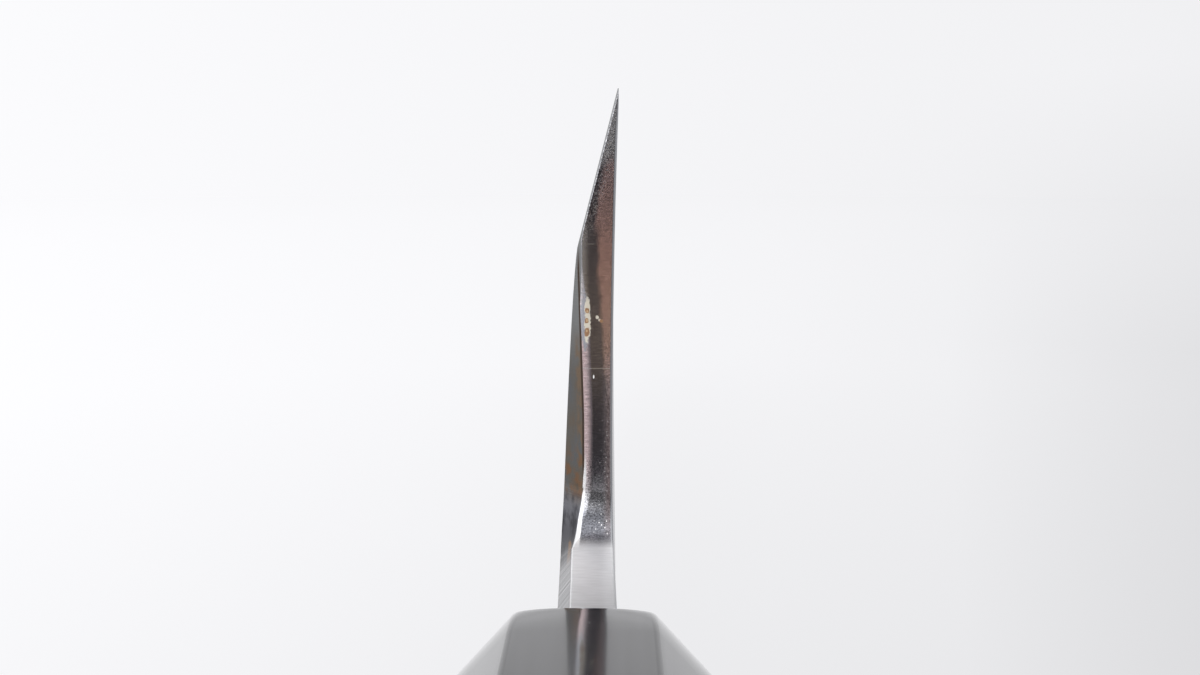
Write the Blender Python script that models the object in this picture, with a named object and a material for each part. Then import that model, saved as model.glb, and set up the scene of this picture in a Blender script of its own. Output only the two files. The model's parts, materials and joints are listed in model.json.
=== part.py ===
"""Deba knife, edge up: a laminated single-bevel blade whose tang sits in a horn ferrule and a wooden handle.

Metres, +Z up. +Y runs along the knife towards the tip and +X is the hollow-ground back (ura) side.
x = 0 is the middle of the handle, y = 0 the middle of the whole length, z = 0 the handle's resting facet.
A place along the blade is given as u, its distance ahead of the heel. A place across it is given as w,
its distance from the flat of the back towards the bevelled face (omote).
"""

import math

import bmesh
import bpy

MM = 0.001

# Handle: an octagon that lies on one of its narrow facets
handle_length = 137.0 * MM
handle_width = 23.0 * MM
handle_height = 25.7 * MM
narrow_facet = 9.5 * MM
side_facet = 10.4 * MM
facet_edge_radius = 0.5 * MM
butt_chamfer = 1.5 * MM

# Ferrule, and the wooden tenon that fills its bore
ferrule_length = 28.0 * MM
ferrule_front_wall = 8.0 * MM
ferrule_front_radius = 0.9 * MM
tenon_diameter = 16.8 * MM
seam = 0.3 * MM
fit_clearance = 0.3 * MM

# Blade as seen from the side
blade_length = 180.0 * MM
heel_height = 57.5 * MM
tip_drop = 20.0 * MM
tip_height = 1.6 * MM
spine_power = 3.6
edge_power = 4.4
thickness_power = 2.6
thickness_round_off = 0.8

# Blade across its thickness
spine_thickness = 5.75 * MM
shinogi_thickness = 3.47 * MM
hira_crown = 0.7
tip_thickness = 0.8 * MM
edge_thickness = 0.08 * MM
kireha_width = 13.1 * MM
kireha_growth = 3.0 * MM
kireha_most_of_height = 0.8
hollow_depth = 0.46 * MM
hollow_rim = 1.2 * MM
hollow_rim_most_of_height = 0.15
hollow_power = 1.5
spine_chamfer = 0.45 * MM
spine_chamfer_most_of_width = 0.15
spine_chamfer_most_of_flat = 0.3

# Heel, neck and the chamfer that is ground down the bevelled side of both
neck_length = 22.3 * MM
neck_height = 18.5 * MM
neck_height_at_ferrule = 16.5 * MM
neck_thickness_at_ferrule = 4.45 * MM
neck_below_facet = 3.4 * MM
neck_off_centre = 0.15 * MM
machi_radius = 4.0 * MM
heel_flat_width = 3.15 * MM
neck_chamfer = 1.0 * MM

# Tang
shoulder_to_bore = 2.0 * MM
tang_length = 95.0 * MM
tang_height = 11.5 * MM
tang_height_at_end = 7.5 * MM
tang_thickness = 3.8 * MM
tang_thickness_at_end = 2.8 * MM
tang_corner = 0.3 * MM
tang_level = 0.6
tang_shinogi = 0.8
tang_hole_spare = 4.0 * MM

# Hard steel layer, forge-welded to the back of the soft iron. Its weld is drawn as a hairline gap
steel_thickness = 1.1 * MM
steel_thickness_at_tip = 0.2 * MM
steel_run_onto_neck = 12.0 * MM
steel_full_ahead_of_heel = 1.0 * MM
weld_gap = 0.05 * MM

# Seal at the mouth of the tang slot
seal_wall = 0.6 * MM
seal_depth = 3.0 * MM

# Mesh steps. The height steps are how far up the flat or down the back the points of a section lie
stations_along_blade = 44
stations_along_neck = 6
stations_along_tang = 5
arc_steps = 12
bore_sides = 48
back_steps_above_level = 7
back_steps_below_level = 4
flat_steps = (0.7, 0.45, 0.25, 0.12, 0.05, 0.015)
level_most_of_flat = 0.6
facet_radius_steps = 2
front_radius_steps = 3
butt_chamfer_steps = 2
cutter_spare = 3.0 * MM
blank_step = 1.0 * MM
same_place = 0.01 * MM
merge_distance = 0.001 * MM
# Each cross-section has a point on both sides this far above the level where the neck is cut off
level_rise = 0.7 * MM

# Places that follow from the sizes
total_length = handle_length + neck_length + blade_length
butt_y = -total_length / 2
ferrule_front_y = butt_y + handle_length
ferrule_back_y = ferrule_front_y - ferrule_length
heel_y = ferrule_front_y + neck_length
neck_top_z = handle_height - neck_below_facet
heel_spine_z = neck_top_z - neck_height
heel_edge_z = heel_spine_z + heel_height
tip_spine_z = heel_spine_z + tip_drop
back_x = neck_off_centre + neck_thickness_at_ferrule / 2
handle_axis_z = handle_height / 2
tang_seat_depth = ferrule_front_wall - shoulder_to_bore
seal_space = seal_wall + 2 * fit_clearance
blank_top_z = neck_top_z + cutter_spare


def mix(a, b, share):
    return a + (b - a) * share


def clear_scene():
    for obj in list(bpy.data.objects):
        bpy.data.objects.remove(obj, do_unlink=True)


def new_collection(name):
    collection = bpy.data.collections.new(name)
    bpy.context.scene.collection.children.link(collection)
    return collection


def new_material(name, colour, roughness, metallic=0.0):
    material = bpy.data.materials.new(name)
    material.use_nodes = True
    shader = material.node_tree.nodes["Principled BSDF"]
    shader.inputs["Base Color"].default_value = (*colour, 1.0)
    shader.inputs["Roughness"].default_value = roughness
    shader.inputs["Metallic"].default_value = metallic
    return material


def new_object(name, mesh, collection, material=None):
    obj = bpy.data.objects.new(name, mesh)
    collection.objects.link(obj)
    if material:
        mesh.materials.clear()
        mesh.materials.append(material)
    return obj


def new_cutter(name, mesh):
    cutter = new_object(name, mesh, cutters)
    cutter.hide_render = True
    cutter.display_type = "WIRE"
    return cutter


def boolean(obj, operation, other):
    modifier = obj.modifiers.new(f"{operation.lower()} {other.name}", "BOOLEAN")
    modifier.operation = operation
    modifier.solver = "EXACT"
    modifier.object = other


def shade(obj, degrees=25.0):
    obj.data.shade_smooth()
    obj.data.set_sharp_from_angle(angle=math.radians(degrees))


def mesh_from(name, build):
    """A mesh whose geometry the function build adds to an empty bmesh, with its faces turned outwards."""
    shape = bmesh.new()
    build(shape)
    bmesh.ops.recalc_face_normals(shape, faces=shape.faces[:])
    mesh = bpy.data.meshes.new(name)
    shape.to_mesh(mesh)
    shape.free()
    return mesh


def loft(name, rings):
    """A closed solid through cross-sections that have the same number of points, with both ends capped."""

    def build(shape):
        layers = [[shape.verts.new(point) for point in ring] for ring in rings]
        count = len(rings[0])
        for near, far in zip(layers, layers[1:]):
            for i in range(count):
                j = (i + 1) % count
                shape.faces.new((near[i], near[j], far[j], far[i]))
        shape.faces.new(layers[0])
        shape.faces.new(layers[-1])

    return mesh_from(name, build)


def box(name, low, high):
    """A box between two corners."""

    def build(shape):
        bmesh.ops.create_cube(shape, size=1.0)
        for vertex in shape.verts:
            vertex.co = [mix(a, b, c + 0.5) for a, b, c in zip(low, high, vertex.co)]

    return mesh_from(name, build)


def cylinder_along_y(name, diameter, y_from, y_to):
    """A round bar on the handle's axis."""

    def build(shape):
        bmesh.ops.create_cone(
            shape,
            cap_ends=True,
            segments=bore_sides,
            radius1=diameter / 2,
            radius2=diameter / 2,
            depth=y_to - y_from,
        )
        for vertex in shape.verts:
            x, z, along = vertex.co
            vertex.co = (x, (y_from + y_to) / 2 + along, handle_axis_z + z)

    return mesh_from(name, build)


def flat_outline(name, outline, low, high, place):
    """A flat outline as a 2D curve, filled and extruded from low to high, then set in place by place(a, b, c)."""
    curve = bpy.data.curves.new(name, "CURVE")
    curve.dimensions = "2D"
    curve.fill_mode = "BOTH"
    curve.extrude = (high - low) / 2
    spline = curve.splines.new("POLY")
    spline.points.add(len(outline) - 1)
    for point, (a, b) in zip(spline.points, outline):
        point.co = (a, b, 0.0, 1.0)
    spline.use_cyclic_u = True
    guide = bpy.data.objects.new(name, curve)
    bpy.context.scene.collection.objects.link(guide)
    graph = bpy.context.evaluated_depsgraph_get()
    mesh = bpy.data.meshes.new_from_object(guide.evaluated_get(graph))
    bpy.data.objects.remove(guide, do_unlink=True)
    bpy.data.curves.remove(curve)
    shape = bmesh.new()
    shape.from_mesh(mesh)
    bmesh.ops.remove_doubles(shape, verts=shape.verts[:], dist=merge_distance)
    for vertex in shape.verts:
        a, b, c = vertex.co
        vertex.co = place(a, b, c + (low + high) / 2)
    bmesh.ops.recalc_face_normals(shape, faces=shape.faces[:])
    shape.to_mesh(mesh)
    shape.free()
    mesh.name = name
    return mesh


# Shape of the blade
def blade_share(u):
    return max(u, 0.0) / blade_length


def neck_share(u):
    return min(max(-u, 0.0) / neck_length, 1.0)


def spine_z(u):
    neck_rise = (neck_height - neck_height_at_ferrule) * neck_share(u)
    return heel_spine_z + neck_rise + tip_drop * blade_share(u) ** spine_power


def edge_z(u):
    fall = heel_edge_z - tip_spine_z - tip_height
    return heel_edge_z - fall * blade_share(u) ** edge_power


def spine_width(u):
    taper = (1 - blade_share(u) ** thickness_power) ** thickness_round_off
    return mix(tip_thickness, spine_thickness, taper)


def kireha_height(u):
    """How far the ground bevel (kireha) reaches down from the edge, measured in the side view."""
    wanted = kireha_width + kireha_growth * blade_share(u)
    return min(wanted, kireha_most_of_height * (edge_z(u) - spine_z(u)))


def shinogi_width(u):
    """Thickness at the line where the bevel meets the flat (hira)."""
    flat = edge_z(u) - spine_z(u) - kireha_height(u)
    flat_at_heel = heel_height - kireha_width
    fall = (spine_thickness - shinogi_thickness) * flat / flat_at_heel
    return spine_width(u) - fall * spine_width(u) / spine_thickness


def back_w(u, z):
    """The hollow of the back: 0 on its rims, and deepest half way up. It fades out along the neck."""
    low, high = (spine_z(u), edge_z(u)) if u >= 0 else (heel_spine_z, heel_edge_z)
    height = high - low
    rim = min(hollow_rim, hollow_rim_most_of_height * height)
    share = min(max((z - low - rim) / (height - 2 * rim), 0.0), 1.0)
    depth = hollow_depth * (height / heel_height) ** hollow_power * (1 - neck_share(u))
    return depth * (1 - (2 * share - 1) ** 2)


def front_w(u, z):
    """The bevelled face: the hira from the spine to the shinogi, then the kireha up to the edge."""
    if u < 0:
        return mix(front_w(0.0, z), neck_thickness_at_ferrule, neck_share(u))
    shinogi_z = edge_z(u) - kireha_height(u)
    if z > shinogi_z:
        return mix(shinogi_width(u), edge_thickness, (z - shinogi_z) / kireha_height(u))
    share = (shinogi_z - z) / (shinogi_z - spine_z(u))
    return mix(shinogi_width(u), spine_width(u), share**hira_crown)


def section(u, low, high, level, shinogi, corner, back, front):
    """One cross-section: down the back, over the spine and up the front. back and front give w at a height."""
    rim = min(hollow_rim, hollow_rim_most_of_height * (high - low))
    above, below = back_steps_above_level, back_steps_below_level
    back_heights = [high, high - rim]
    back_heights += [mix(high - rim, level, i / above) for i in range(1, above)]
    back_heights += [mix(level, low + rim, i / below) for i in range(below + 1)]
    back_heights += [low + corner]
    front_level = min(level, mix(low, shinogi, level_most_of_flat))
    front_heights = [low + corner, mix(low + corner, front_level, 0.5), front_level]
    front_heights += [mix(shinogi, front_level, share) for share in flat_steps]
    front_heights += [shinogi, high]
    points = [(back(z), z) for z in back_heights]
    points += [(back(low) + corner, low), (front(low) - corner, low)]
    points += [(front(z), z) for z in front_heights]
    return [(back_x - w, heel_y + u, z) for w, z in points]


def blade_section(u):
    """A section of the full-height blank: the blade itself, and a short stretch behind the heel."""
    low, high = spine_z(u), edge_z(u)
    level = low + (neck_height + level_rise) / heel_height * (high - low)
    shinogi = high - kireha_height(u)
    widest = spine_chamfer_most_of_width * spine_width(u)
    tallest = spine_chamfer_most_of_flat * (shinogi - low)
    corner = min(spine_chamfer, widest, tallest)
    return section(u, low, high, level, shinogi, corner, lambda z: back_w(u, z), lambda z: front_w(u, z))


def neck_section(u):
    """A section of the neck, left tall enough for the heel cutter to trim its underside."""
    level = neck_top_z + level_rise
    shinogi = mix(level, blank_top_z, 0.5)
    low = spine_z(u)
    return section(
        u,
        low,
        blank_top_z,
        level,
        shinogi,
        spine_chamfer,
        lambda z: back_w(u, z),
        lambda z: front_w(u, z),
    )


def tang_section(depth, grow=0.0):
    """A section of the tang at a depth behind the ferrule's front face, or of its hole, grown all round."""
    share = min((depth - tang_seat_depth) / (tang_length - tang_seat_depth), 1.0)
    height = mix(tang_height, tang_height_at_end, share) + 2 * grow
    width = mix(tang_thickness, tang_thickness_at_end, share) + 2 * grow
    middle_z = mix(neck_top_z - neck_height_at_ferrule / 2, handle_axis_z, share)
    low, high = middle_z - height / 2, middle_z + height / 2
    near, far = back_x - width / 2, back_x + width / 2
    return section(
        -neck_length - depth,
        low,
        high,
        mix(low, high, tang_level),
        mix(low, high, tang_shinogi),
        tang_corner,
        lambda z: near,
        lambda z: far,
    )


def blank_mesh():
    """The forging before the heel is cut: the tip, the blade, the neck, the tang's shoulder and the tang."""
    full_height_back = -machi_radius - blank_step
    neck_from = full_height_back - blank_step
    seat = -neck_length - tang_seat_depth
    rings = []
    for i in range(stations_along_blade + 1):
        share = math.sin(math.pi / 2 * (1 - i / stations_along_blade))
        rings.append(blade_section(blade_length * share))
    rings.append(blade_section(full_height_back / 2))
    rings.append(blade_section(full_height_back))
    for i in range(stations_along_neck + 1):
        rings.append(neck_section(mix(neck_from, -neck_length, i / stations_along_neck)))
    rings.append(neck_section(seat))
    for i in range(stations_along_tang + 1):
        rings.append(tang_section(mix(tang_seat_depth, tang_length, i / stations_along_tang)))
    return loft("blade blank", rings)


def heel_cutter():
    """Everything behind the heel and above the neck, with the round inner corner (machi) left standing."""
    back = ferrule_front_y - tang_seat_depth - cutter_spare
    outline = [(back, neck_top_z)]
    for i in range(arc_steps + 1):
        angle = -math.pi / 2 * (1 - i / arc_steps)
        across = heel_y - machi_radius + machi_radius * math.cos(angle)
        outline.append((across, neck_top_z + machi_radius + machi_radius * math.sin(angle)))
    top = heel_edge_z + cutter_spare
    outline += [(heel_y, top), (back, top)]
    side = spine_thickness + cutter_spare
    return new_cutter("heel_cutter", flat_outline("heel cutter", outline, -side, side, lambda a, b, c: (c, a, b)))


def chamfer_stations():
    """Along the heel, round the machi and back under the neck: place, direction into the metal, flat's width."""
    arc_start_z = neck_top_z + machi_radius
    stations = [
        (heel_y, heel_edge_z + cutter_spare, 1.0, 0.0, heel_flat_width),
        (heel_y, arc_start_z + machi_radius, 1.0, 0.0, heel_flat_width),
        (heel_y, arc_start_z, 1.0, 0.0, heel_flat_width),
    ]
    for i in range(1, arc_steps + 1):
        angle = -math.pi / 2 * i / arc_steps
        across, up = math.cos(angle), math.sin(angle)
        u = machi_radius * (across - 1)
        flat = mix(heel_flat_width, front_w(u, neck_top_z) - neck_chamfer, i / arc_steps)
        place = (heel_y + u, neck_top_z + machi_radius * (1 + up))
        stations.append((*place, across, up, flat))
    end = -neck_length - tang_seat_depth - cutter_spare
    for i in range(1, 4):
        u = mix(-machi_radius, end, i / 3)
        stations.append((heel_y + u, neck_top_z, 0.0, -1.0, front_w(u, neck_top_z) - neck_chamfer))
    return stations


def chamfer_cutter():
    """A wedge at 45 degrees, swept along the heel, the machi and the neck on the bevelled side."""
    out = blank_step
    reach = spine_thickness
    rings = []
    for y, z, along, up, flat in chamfer_stations():
        corners = [(-out, flat - out), (reach, flat + reach), (-out, flat + reach)]
        rings.append([(back_x - w, y + along * step, z + up * step) for step, w in corners])
    return new_cutter("chamfer_cutter", loft("chamfer cutter", rings))


def steel_cutter(name, grow):
    """The space of the hard steel layer, seen from above. It thins towards the tip and runs out on the neck."""
    tip = heel_y + blade_length
    outline = [
        (heel_y - steel_run_onto_neck, grow),
        (heel_y + steel_full_ahead_of_heel, steel_thickness + grow),
        (tip + cutter_spare, steel_thickness_at_tip + grow),
        (tip + cutter_spare, -cutter_spare),
        (heel_y - steel_run_onto_neck, -cutter_spare),
    ]
    low, high = -cutter_spare, heel_edge_z + cutter_spare
    return new_cutter(name, flat_outline(name, outline, low, high, lambda a, b, c: (back_x - b, a, c)))


def octagon():
    """The handle's section as (x, z), anticlockwise from the right end of the facet that it rests on."""
    x_in, x_out = narrow_facet / 2, handle_width / 2
    z_in = (handle_height - side_facet) / 2
    right = [(x_in, 0.0), (x_out, z_in), (x_out, handle_height - z_in), (x_in, handle_height)]
    return right + [(-x, z) for x, z in reversed(right)]


def octagon_bar(name, y_from, y_to, end_y, end_width, end_segments):
    """An octagonal bar with its long edges rounded a little, and the edges of one end face bevelled."""
    mesh = flat_outline(name, octagon(), y_from, y_to, lambda a, b, c: (a, c, b))
    shape = bmesh.new()
    shape.from_mesh(mesh)
    bmesh.ops.dissolve_limit(
        shape, angle_limit=math.radians(1), verts=shape.verts[:], edges=shape.edges[:]
    )
    long_edges = [e for e in shape.edges if abs(e.verts[0].co.y - e.verts[1].co.y) > same_place]
    bmesh.ops.bevel(
        shape,
        geom=long_edges,
        offset=facet_edge_radius,
        segments=facet_radius_steps,
        profile=0.5,
        affect="EDGES",
    )
    rim = [e for e in shape.edges if all(abs(v.co.y - end_y) < same_place for v in e.verts)]
    bmesh.ops.bevel(shape, geom=rim, offset=end_width, segments=end_segments, profile=0.5, affect="EDGES")
    bmesh.ops.recalc_face_normals(shape, faces=shape.faces[:])
    shape.to_mesh(mesh)
    shape.free()
    return mesh


def neck_box(name, grow, y_from, y_to):
    """A box round the neck where it enters the ferrule, grown all round."""
    low_z = neck_top_z - neck_height_at_ferrule - grow
    far_x = back_x - neck_thickness_at_ferrule - grow
    return box(name, (far_x, y_from, low_z), (back_x + grow, y_to, neck_top_z + grow))


def make_blade():
    blank = blank_mesh()
    heel, chamfer = heel_cutter(), chamfer_cutter()
    iron = new_object("blade_body", blank, knife, new_material("soft iron", (0.40, 0.40, 0.41), 0.32, 1.0))
    boolean(iron, "DIFFERENCE", steel_cutter("steel_space", weld_gap))
    boolean(iron, "DIFFERENCE", heel)
    boolean(iron, "DIFFERENCE", chamfer)
    steel_mesh = blank.copy()
    finish = new_material("hard carbon steel", (0.55, 0.55, 0.56), 0.2, 1.0)
    steel = new_object("edge_steel", steel_mesh, knife, finish)
    boolean(steel, "INTERSECT", steel_cutter("steel_layer", 0.0))
    boolean(steel, "DIFFERENCE", heel)
    boolean(steel, "DIFFERENCE", chamfer)
    shade(iron, 8.0)
    shade(steel, 8.0)


def make_ferrule():
    mesh = octagon_bar(
        "ferrule", ferrule_back_y, ferrule_front_y, ferrule_front_y, ferrule_front_radius, front_radius_steps
    )
    horn = new_object("ferrule", mesh, knife, new_material("black buffalo horn", (0.012, 0.012, 0.013), 0.18))
    wall_y = ferrule_front_y - ferrule_front_wall
    bore_diameter = tenon_diameter + 2 * fit_clearance
    bore = cylinder_along_y("ferrule bore", bore_diameter, ferrule_back_y - cutter_spare, wall_y)
    boolean(horn, "DIFFERENCE", new_cutter("ferrule_bore", bore))
    slot = neck_box("tang slot", seal_space, wall_y - cutter_spare, ferrule_front_y + cutter_spare)
    boolean(horn, "DIFFERENCE", new_cutter("tang_slot", slot))
    shade(horn)


def make_handle_body():
    shoulder_y = ferrule_back_y - seam
    mesh = octagon_bar("handle body", butt_y, shoulder_y, butt_y, butt_chamfer, butt_chamfer_steps)
    wood = new_object("handle_body", mesh, knife, new_material("magnolia wood", (0.62, 0.47, 0.30), 0.55))
    tenon_end_y = ferrule_front_y - ferrule_front_wall - fit_clearance
    tenon = cylinder_along_y("tenon", tenon_diameter, shoulder_y - cutter_spare, tenon_end_y)
    boolean(wood, "UNION", new_cutter("tenon", tenon))
    hole_end = tang_length + tang_hole_spare
    rings = [tang_section(tang_seat_depth, fit_clearance), tang_section(tang_length, fit_clearance)]
    rings.append([(x, ferrule_front_y - hole_end, z) for x, _, z in rings[-1]])
    boolean(wood, "DIFFERENCE", new_cutter("tang_hole", loft("tang hole", rings)))
    shade(wood)


def make_seal():
    front = ferrule_front_y - fit_clearance
    mesh = neck_box("tang seal", seal_wall + fit_clearance, front - seal_depth, front)
    seal = new_object("tang_seal", mesh, knife, new_material("sealing resin", (0.03, 0.025, 0.02), 0.5))
    hole = neck_box("neck hole", fit_clearance, front - seal_depth - cutter_spare, front + cutter_spare)
    boolean(seal, "DIFFERENCE", new_cutter("seal_hole", hole))
    shade(seal)


clear_scene()
knife = new_collection("deba knife")
cutters = new_collection("cutters")
make_blade()
make_ferrule()
make_handle_body()
make_seal()
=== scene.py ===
# %% [markdown]
# A deba is the heavy knife of a Japanese kitchen. It is ground on one side only, hollow on the other, and its
# tang is driven into an octagonal handle. The solids are already there, at real size and in place, so this
# lesson starts by bringing them in. It then models each piece again with a fine surface, and gives it its
# finish. The knife lies along +Y with its tip away from us. Its cutting edge is up, and +X is the hollow
# side.

# %% Bring in the solids
import json
import math

import bpy
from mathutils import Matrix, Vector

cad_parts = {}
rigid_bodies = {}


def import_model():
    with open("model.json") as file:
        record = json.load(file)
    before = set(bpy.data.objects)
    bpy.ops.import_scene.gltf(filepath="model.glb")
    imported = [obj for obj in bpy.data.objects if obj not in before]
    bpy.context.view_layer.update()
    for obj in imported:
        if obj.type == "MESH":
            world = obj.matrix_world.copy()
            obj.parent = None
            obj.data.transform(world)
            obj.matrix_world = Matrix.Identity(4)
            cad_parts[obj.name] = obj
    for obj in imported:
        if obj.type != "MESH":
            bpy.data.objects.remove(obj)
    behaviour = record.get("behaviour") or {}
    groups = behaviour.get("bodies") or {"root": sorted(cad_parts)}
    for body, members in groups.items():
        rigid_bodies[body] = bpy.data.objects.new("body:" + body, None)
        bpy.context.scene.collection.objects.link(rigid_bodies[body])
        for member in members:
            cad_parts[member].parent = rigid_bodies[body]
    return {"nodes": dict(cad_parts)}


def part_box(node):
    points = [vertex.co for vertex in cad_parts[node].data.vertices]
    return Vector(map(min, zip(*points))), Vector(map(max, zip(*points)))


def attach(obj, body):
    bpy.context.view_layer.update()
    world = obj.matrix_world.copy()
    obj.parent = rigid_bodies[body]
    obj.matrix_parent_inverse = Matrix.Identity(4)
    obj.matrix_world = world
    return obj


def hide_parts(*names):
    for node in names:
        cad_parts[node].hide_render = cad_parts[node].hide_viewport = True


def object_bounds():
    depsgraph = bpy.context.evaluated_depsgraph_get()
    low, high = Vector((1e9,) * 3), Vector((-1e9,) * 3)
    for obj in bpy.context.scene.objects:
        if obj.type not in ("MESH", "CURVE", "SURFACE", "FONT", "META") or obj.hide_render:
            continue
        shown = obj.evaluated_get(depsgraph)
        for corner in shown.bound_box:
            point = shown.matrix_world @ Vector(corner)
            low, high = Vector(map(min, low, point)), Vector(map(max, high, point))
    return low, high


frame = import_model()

MM = 0.001
solid_low, solid_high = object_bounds()
print("solids:", sorted(frame["nodes"]))

# %% [markdown]
# Most steps below open a mesh in edit mode, pick some of its faces or edges by where they lie, and run one
# tool on them. An operator acts on all that is selected, so each piece is first made the only selected one.


# %% Picking a piece and parts of it
def take(piece):
    """Makes piece the only selected object and the active one."""
    bpy.ops.object.select_all(action="DESELECT")
    piece.select_set(True)
    bpy.context.view_layer.objects.active = piece


def open_with(piece, edges=None, faces=None):
    """Opens piece in edit mode with only the edges, or faces, that the given test accepts selected."""
    take(piece)
    bpy.ops.object.mode_set(mode="EDIT")
    bpy.ops.mesh.select_mode(type="EDGE" if edges else "FACE")
    bpy.ops.mesh.select_all(action="DESELECT")
    bpy.ops.object.mode_set(mode="OBJECT")
    mesh = piece.data
    if edges:
        for edge in mesh.edges:
            edge.select = edges(*[mesh.vertices[i].co for i in edge.vertices])
    if faces:
        for face in mesh.polygons:
            face.select = faces(face)
    bpy.ops.object.mode_set(mode="EDIT")


def close():
    bpy.ops.object.mode_set(mode="OBJECT")


def near(a, b, within=0.01 * MM):
    return abs(a - b) < within


# %% [markdown]
# Many pieces and cutters start as a box between two corners. A Boolean cuts or joins with another mesh. It is
# applied at once, and the cutter is thrown away when it has done its last cut. A finished piece is settled:
# its place goes into its mesh, and its normals are weighted, so that flats look flat beside rounded edges.

# %% Boxes, cutting and joining
merge_distance = 0.0005 * MM


def block(name, low, high):
    middle = [(a + b) / 2 for a, b in zip(low, high)]
    bpy.ops.mesh.primitive_cube_add(size=1.0, location=middle)
    made = bpy.context.object
    made.name = name
    made.scale = [b - a for a, b in zip(low, high)]
    bpy.ops.object.transform_apply(location=True, rotation=True, scale=True)
    return made


def cut(piece, other, operation="DIFFERENCE"):
    take(piece)
    modifier = piece.modifiers.new("cut", "BOOLEAN")
    modifier.operation = operation
    modifier.solver = "EXACT"
    modifier.object = other
    bpy.ops.object.modifier_apply(modifier=modifier.name)


def throw_away(*pieces):
    for piece in pieces:
        bpy.data.objects.remove(piece, do_unlink=True)


def make_whole(piece, y):
    """Dissolves the pieces of a flat end at y into one face."""
    open_with(piece, faces=lambda face: near(face.center.y, y) and near(abs(face.normal.y), 1.0, within=1e-4))
    bpy.ops.mesh.dissolve_faces()
    close()


def settle(piece, sharp):
    """Applies the piece's place, turns its faces outwards, and smooths all edges below so many degrees."""
    take(piece)
    bpy.ops.object.transform_apply(location=True, rotation=True, scale=True)
    bpy.ops.object.mode_set(mode="EDIT")
    bpy.ops.mesh.select_all(action="SELECT")
    bpy.ops.mesh.remove_doubles(threshold=merge_distance)
    bpy.ops.mesh.normals_make_consistent(inside=False)
    bpy.ops.object.mode_set(mode="OBJECT")
    bpy.ops.object.shade_smooth_by_angle(angle=math.radians(sharp))
    weighted = piece.modifiers.new("flat flats", "WEIGHTED_NORMAL")
    weighted.keep_sharp = True
    bpy.ops.object.modifier_apply(modifier=weighted.name)


# %% [markdown]
# The camera stands low behind the handle and looks along the knife, so the blade is seen end on. All lines
# along the knife run to one point of the picture, above its middle, which fixes the camera's tilt. Its
# distance from the heel sets how fast things shrink. The lens is a moderate wide angle.

# %% The camera
image_width = 1200
image_height = 675
focal_pixels = 1000.0
sensor_width = 36.0
vanishing_x = 611.0
vanishing_y = 161.0
neck_length = 22.3 * MM
camera_behind_heel = 86.0 * MM
camera_above_neck = 33.0 * MM
camera_inside_back = 0.636 * MM

back_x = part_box("edge_steel")[1].x
heel_edge_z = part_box("edge_steel")[1].z
ferrule_back_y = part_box("ferrule")[0].y
ferrule_front_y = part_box("ferrule")[1].y
heel_y = ferrule_front_y + neck_length
handle_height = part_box("ferrule")[1].z
neck_below_facet = 3.4 * MM
neck_top_z = handle_height - neck_below_facet

tilt = math.atan((image_height / 2 - vanishing_y) / focal_pixels)
turn = math.atan((vanishing_x - image_width / 2) / focal_pixels * math.cos(tilt))
camera_data = bpy.data.cameras.new("camera")
camera_data.sensor_width = sensor_width
camera_data.lens = focal_pixels * sensor_width / image_width
camera_data.clip_start = 1 * MM
camera = bpy.data.objects.new("camera", camera_data)
bpy.context.scene.collection.objects.link(camera)
camera.location = (back_x - camera_inside_back, heel_y - camera_behind_heel, neck_top_z + camera_above_neck)
camera.rotation_euler = (math.pi / 2 - tilt, 0.0, turn)
bpy.context.scene.camera = camera
print("camera tilted down", round(math.degrees(tilt), 2), "degrees")

# %% [markdown]
# Nodes are added by one small function: what sort of node, its own settings, and what goes into its sockets.
# A value that is itself a node is linked from that node's first output in use. Colours are written as the hex
# values that a screen shows, and turned to linear light in one place.


# %% Nodes and colours
def hex_colour(code):
    """An sRGB hex value as linear red, green, blue and alpha."""
    shown = [int(code[i : i + 2], 16) / 255 for i in (0, 2, 4)]
    linear = [c / 12.92 if c <= 0.04045 else ((c + 0.055) / 1.055) ** 2.4 for c in shown]
    return (*linear, 1.0)


def add_node(tree, sort, sockets=None, stops=None, **settings):
    made = tree.nodes.new(sort)
    for name, value in settings.items():
        setattr(made, name, value)
    for place, value in (sockets or {}).items():
        if isinstance(value, bpy.types.Node):
            value = next(output for output in value.outputs if output.enabled)
        if isinstance(value, bpy.types.NodeSocket):
            tree.links.new(value, made.inputs[place])
        else:
            made.inputs[place].default_value = value
    if stops:
        elements = made.color_ramp.elements
        while len(elements) < len(stops):
            elements.new(1.0)
        for element, (position, colour) in zip(elements, stops):
            element.position = position
            element.color = hex_colour(colour)
    return made


def new_material(name):
    """A material with nothing in it but its output node."""
    material = bpy.data.materials.new(name)
    material.use_nodes = True
    material.node_tree.nodes.clear()
    return material, material.node_tree


def finish_material(tree, shader):
    add_node(tree, "ShaderNodeOutputMaterial", {"Surface": shader})


# %% [markdown]
# The room is a light tent: a pale dome that is flat where it meets the table, so that no horizon shows from
# any side. Nearly all of its brightness is its own glow, which leaves only a faint contact shadow.

# %% The tent's shape
tent_radius = 1.6
knife_middle = (0.0, 0.0, 30 * MM)
bpy.ops.mesh.primitive_uv_sphere_add(segments=96, ring_count=64, radius=tent_radius, location=(0, 0, 0))
tent = bpy.context.object
tent.name = "tent"
for vertex in tent.data.vertices:
    if vertex.co.z < 0:
        vertex.co.z = 0
settle(tent, sharp=60)
print("tent radius", tent_radius)
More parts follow.
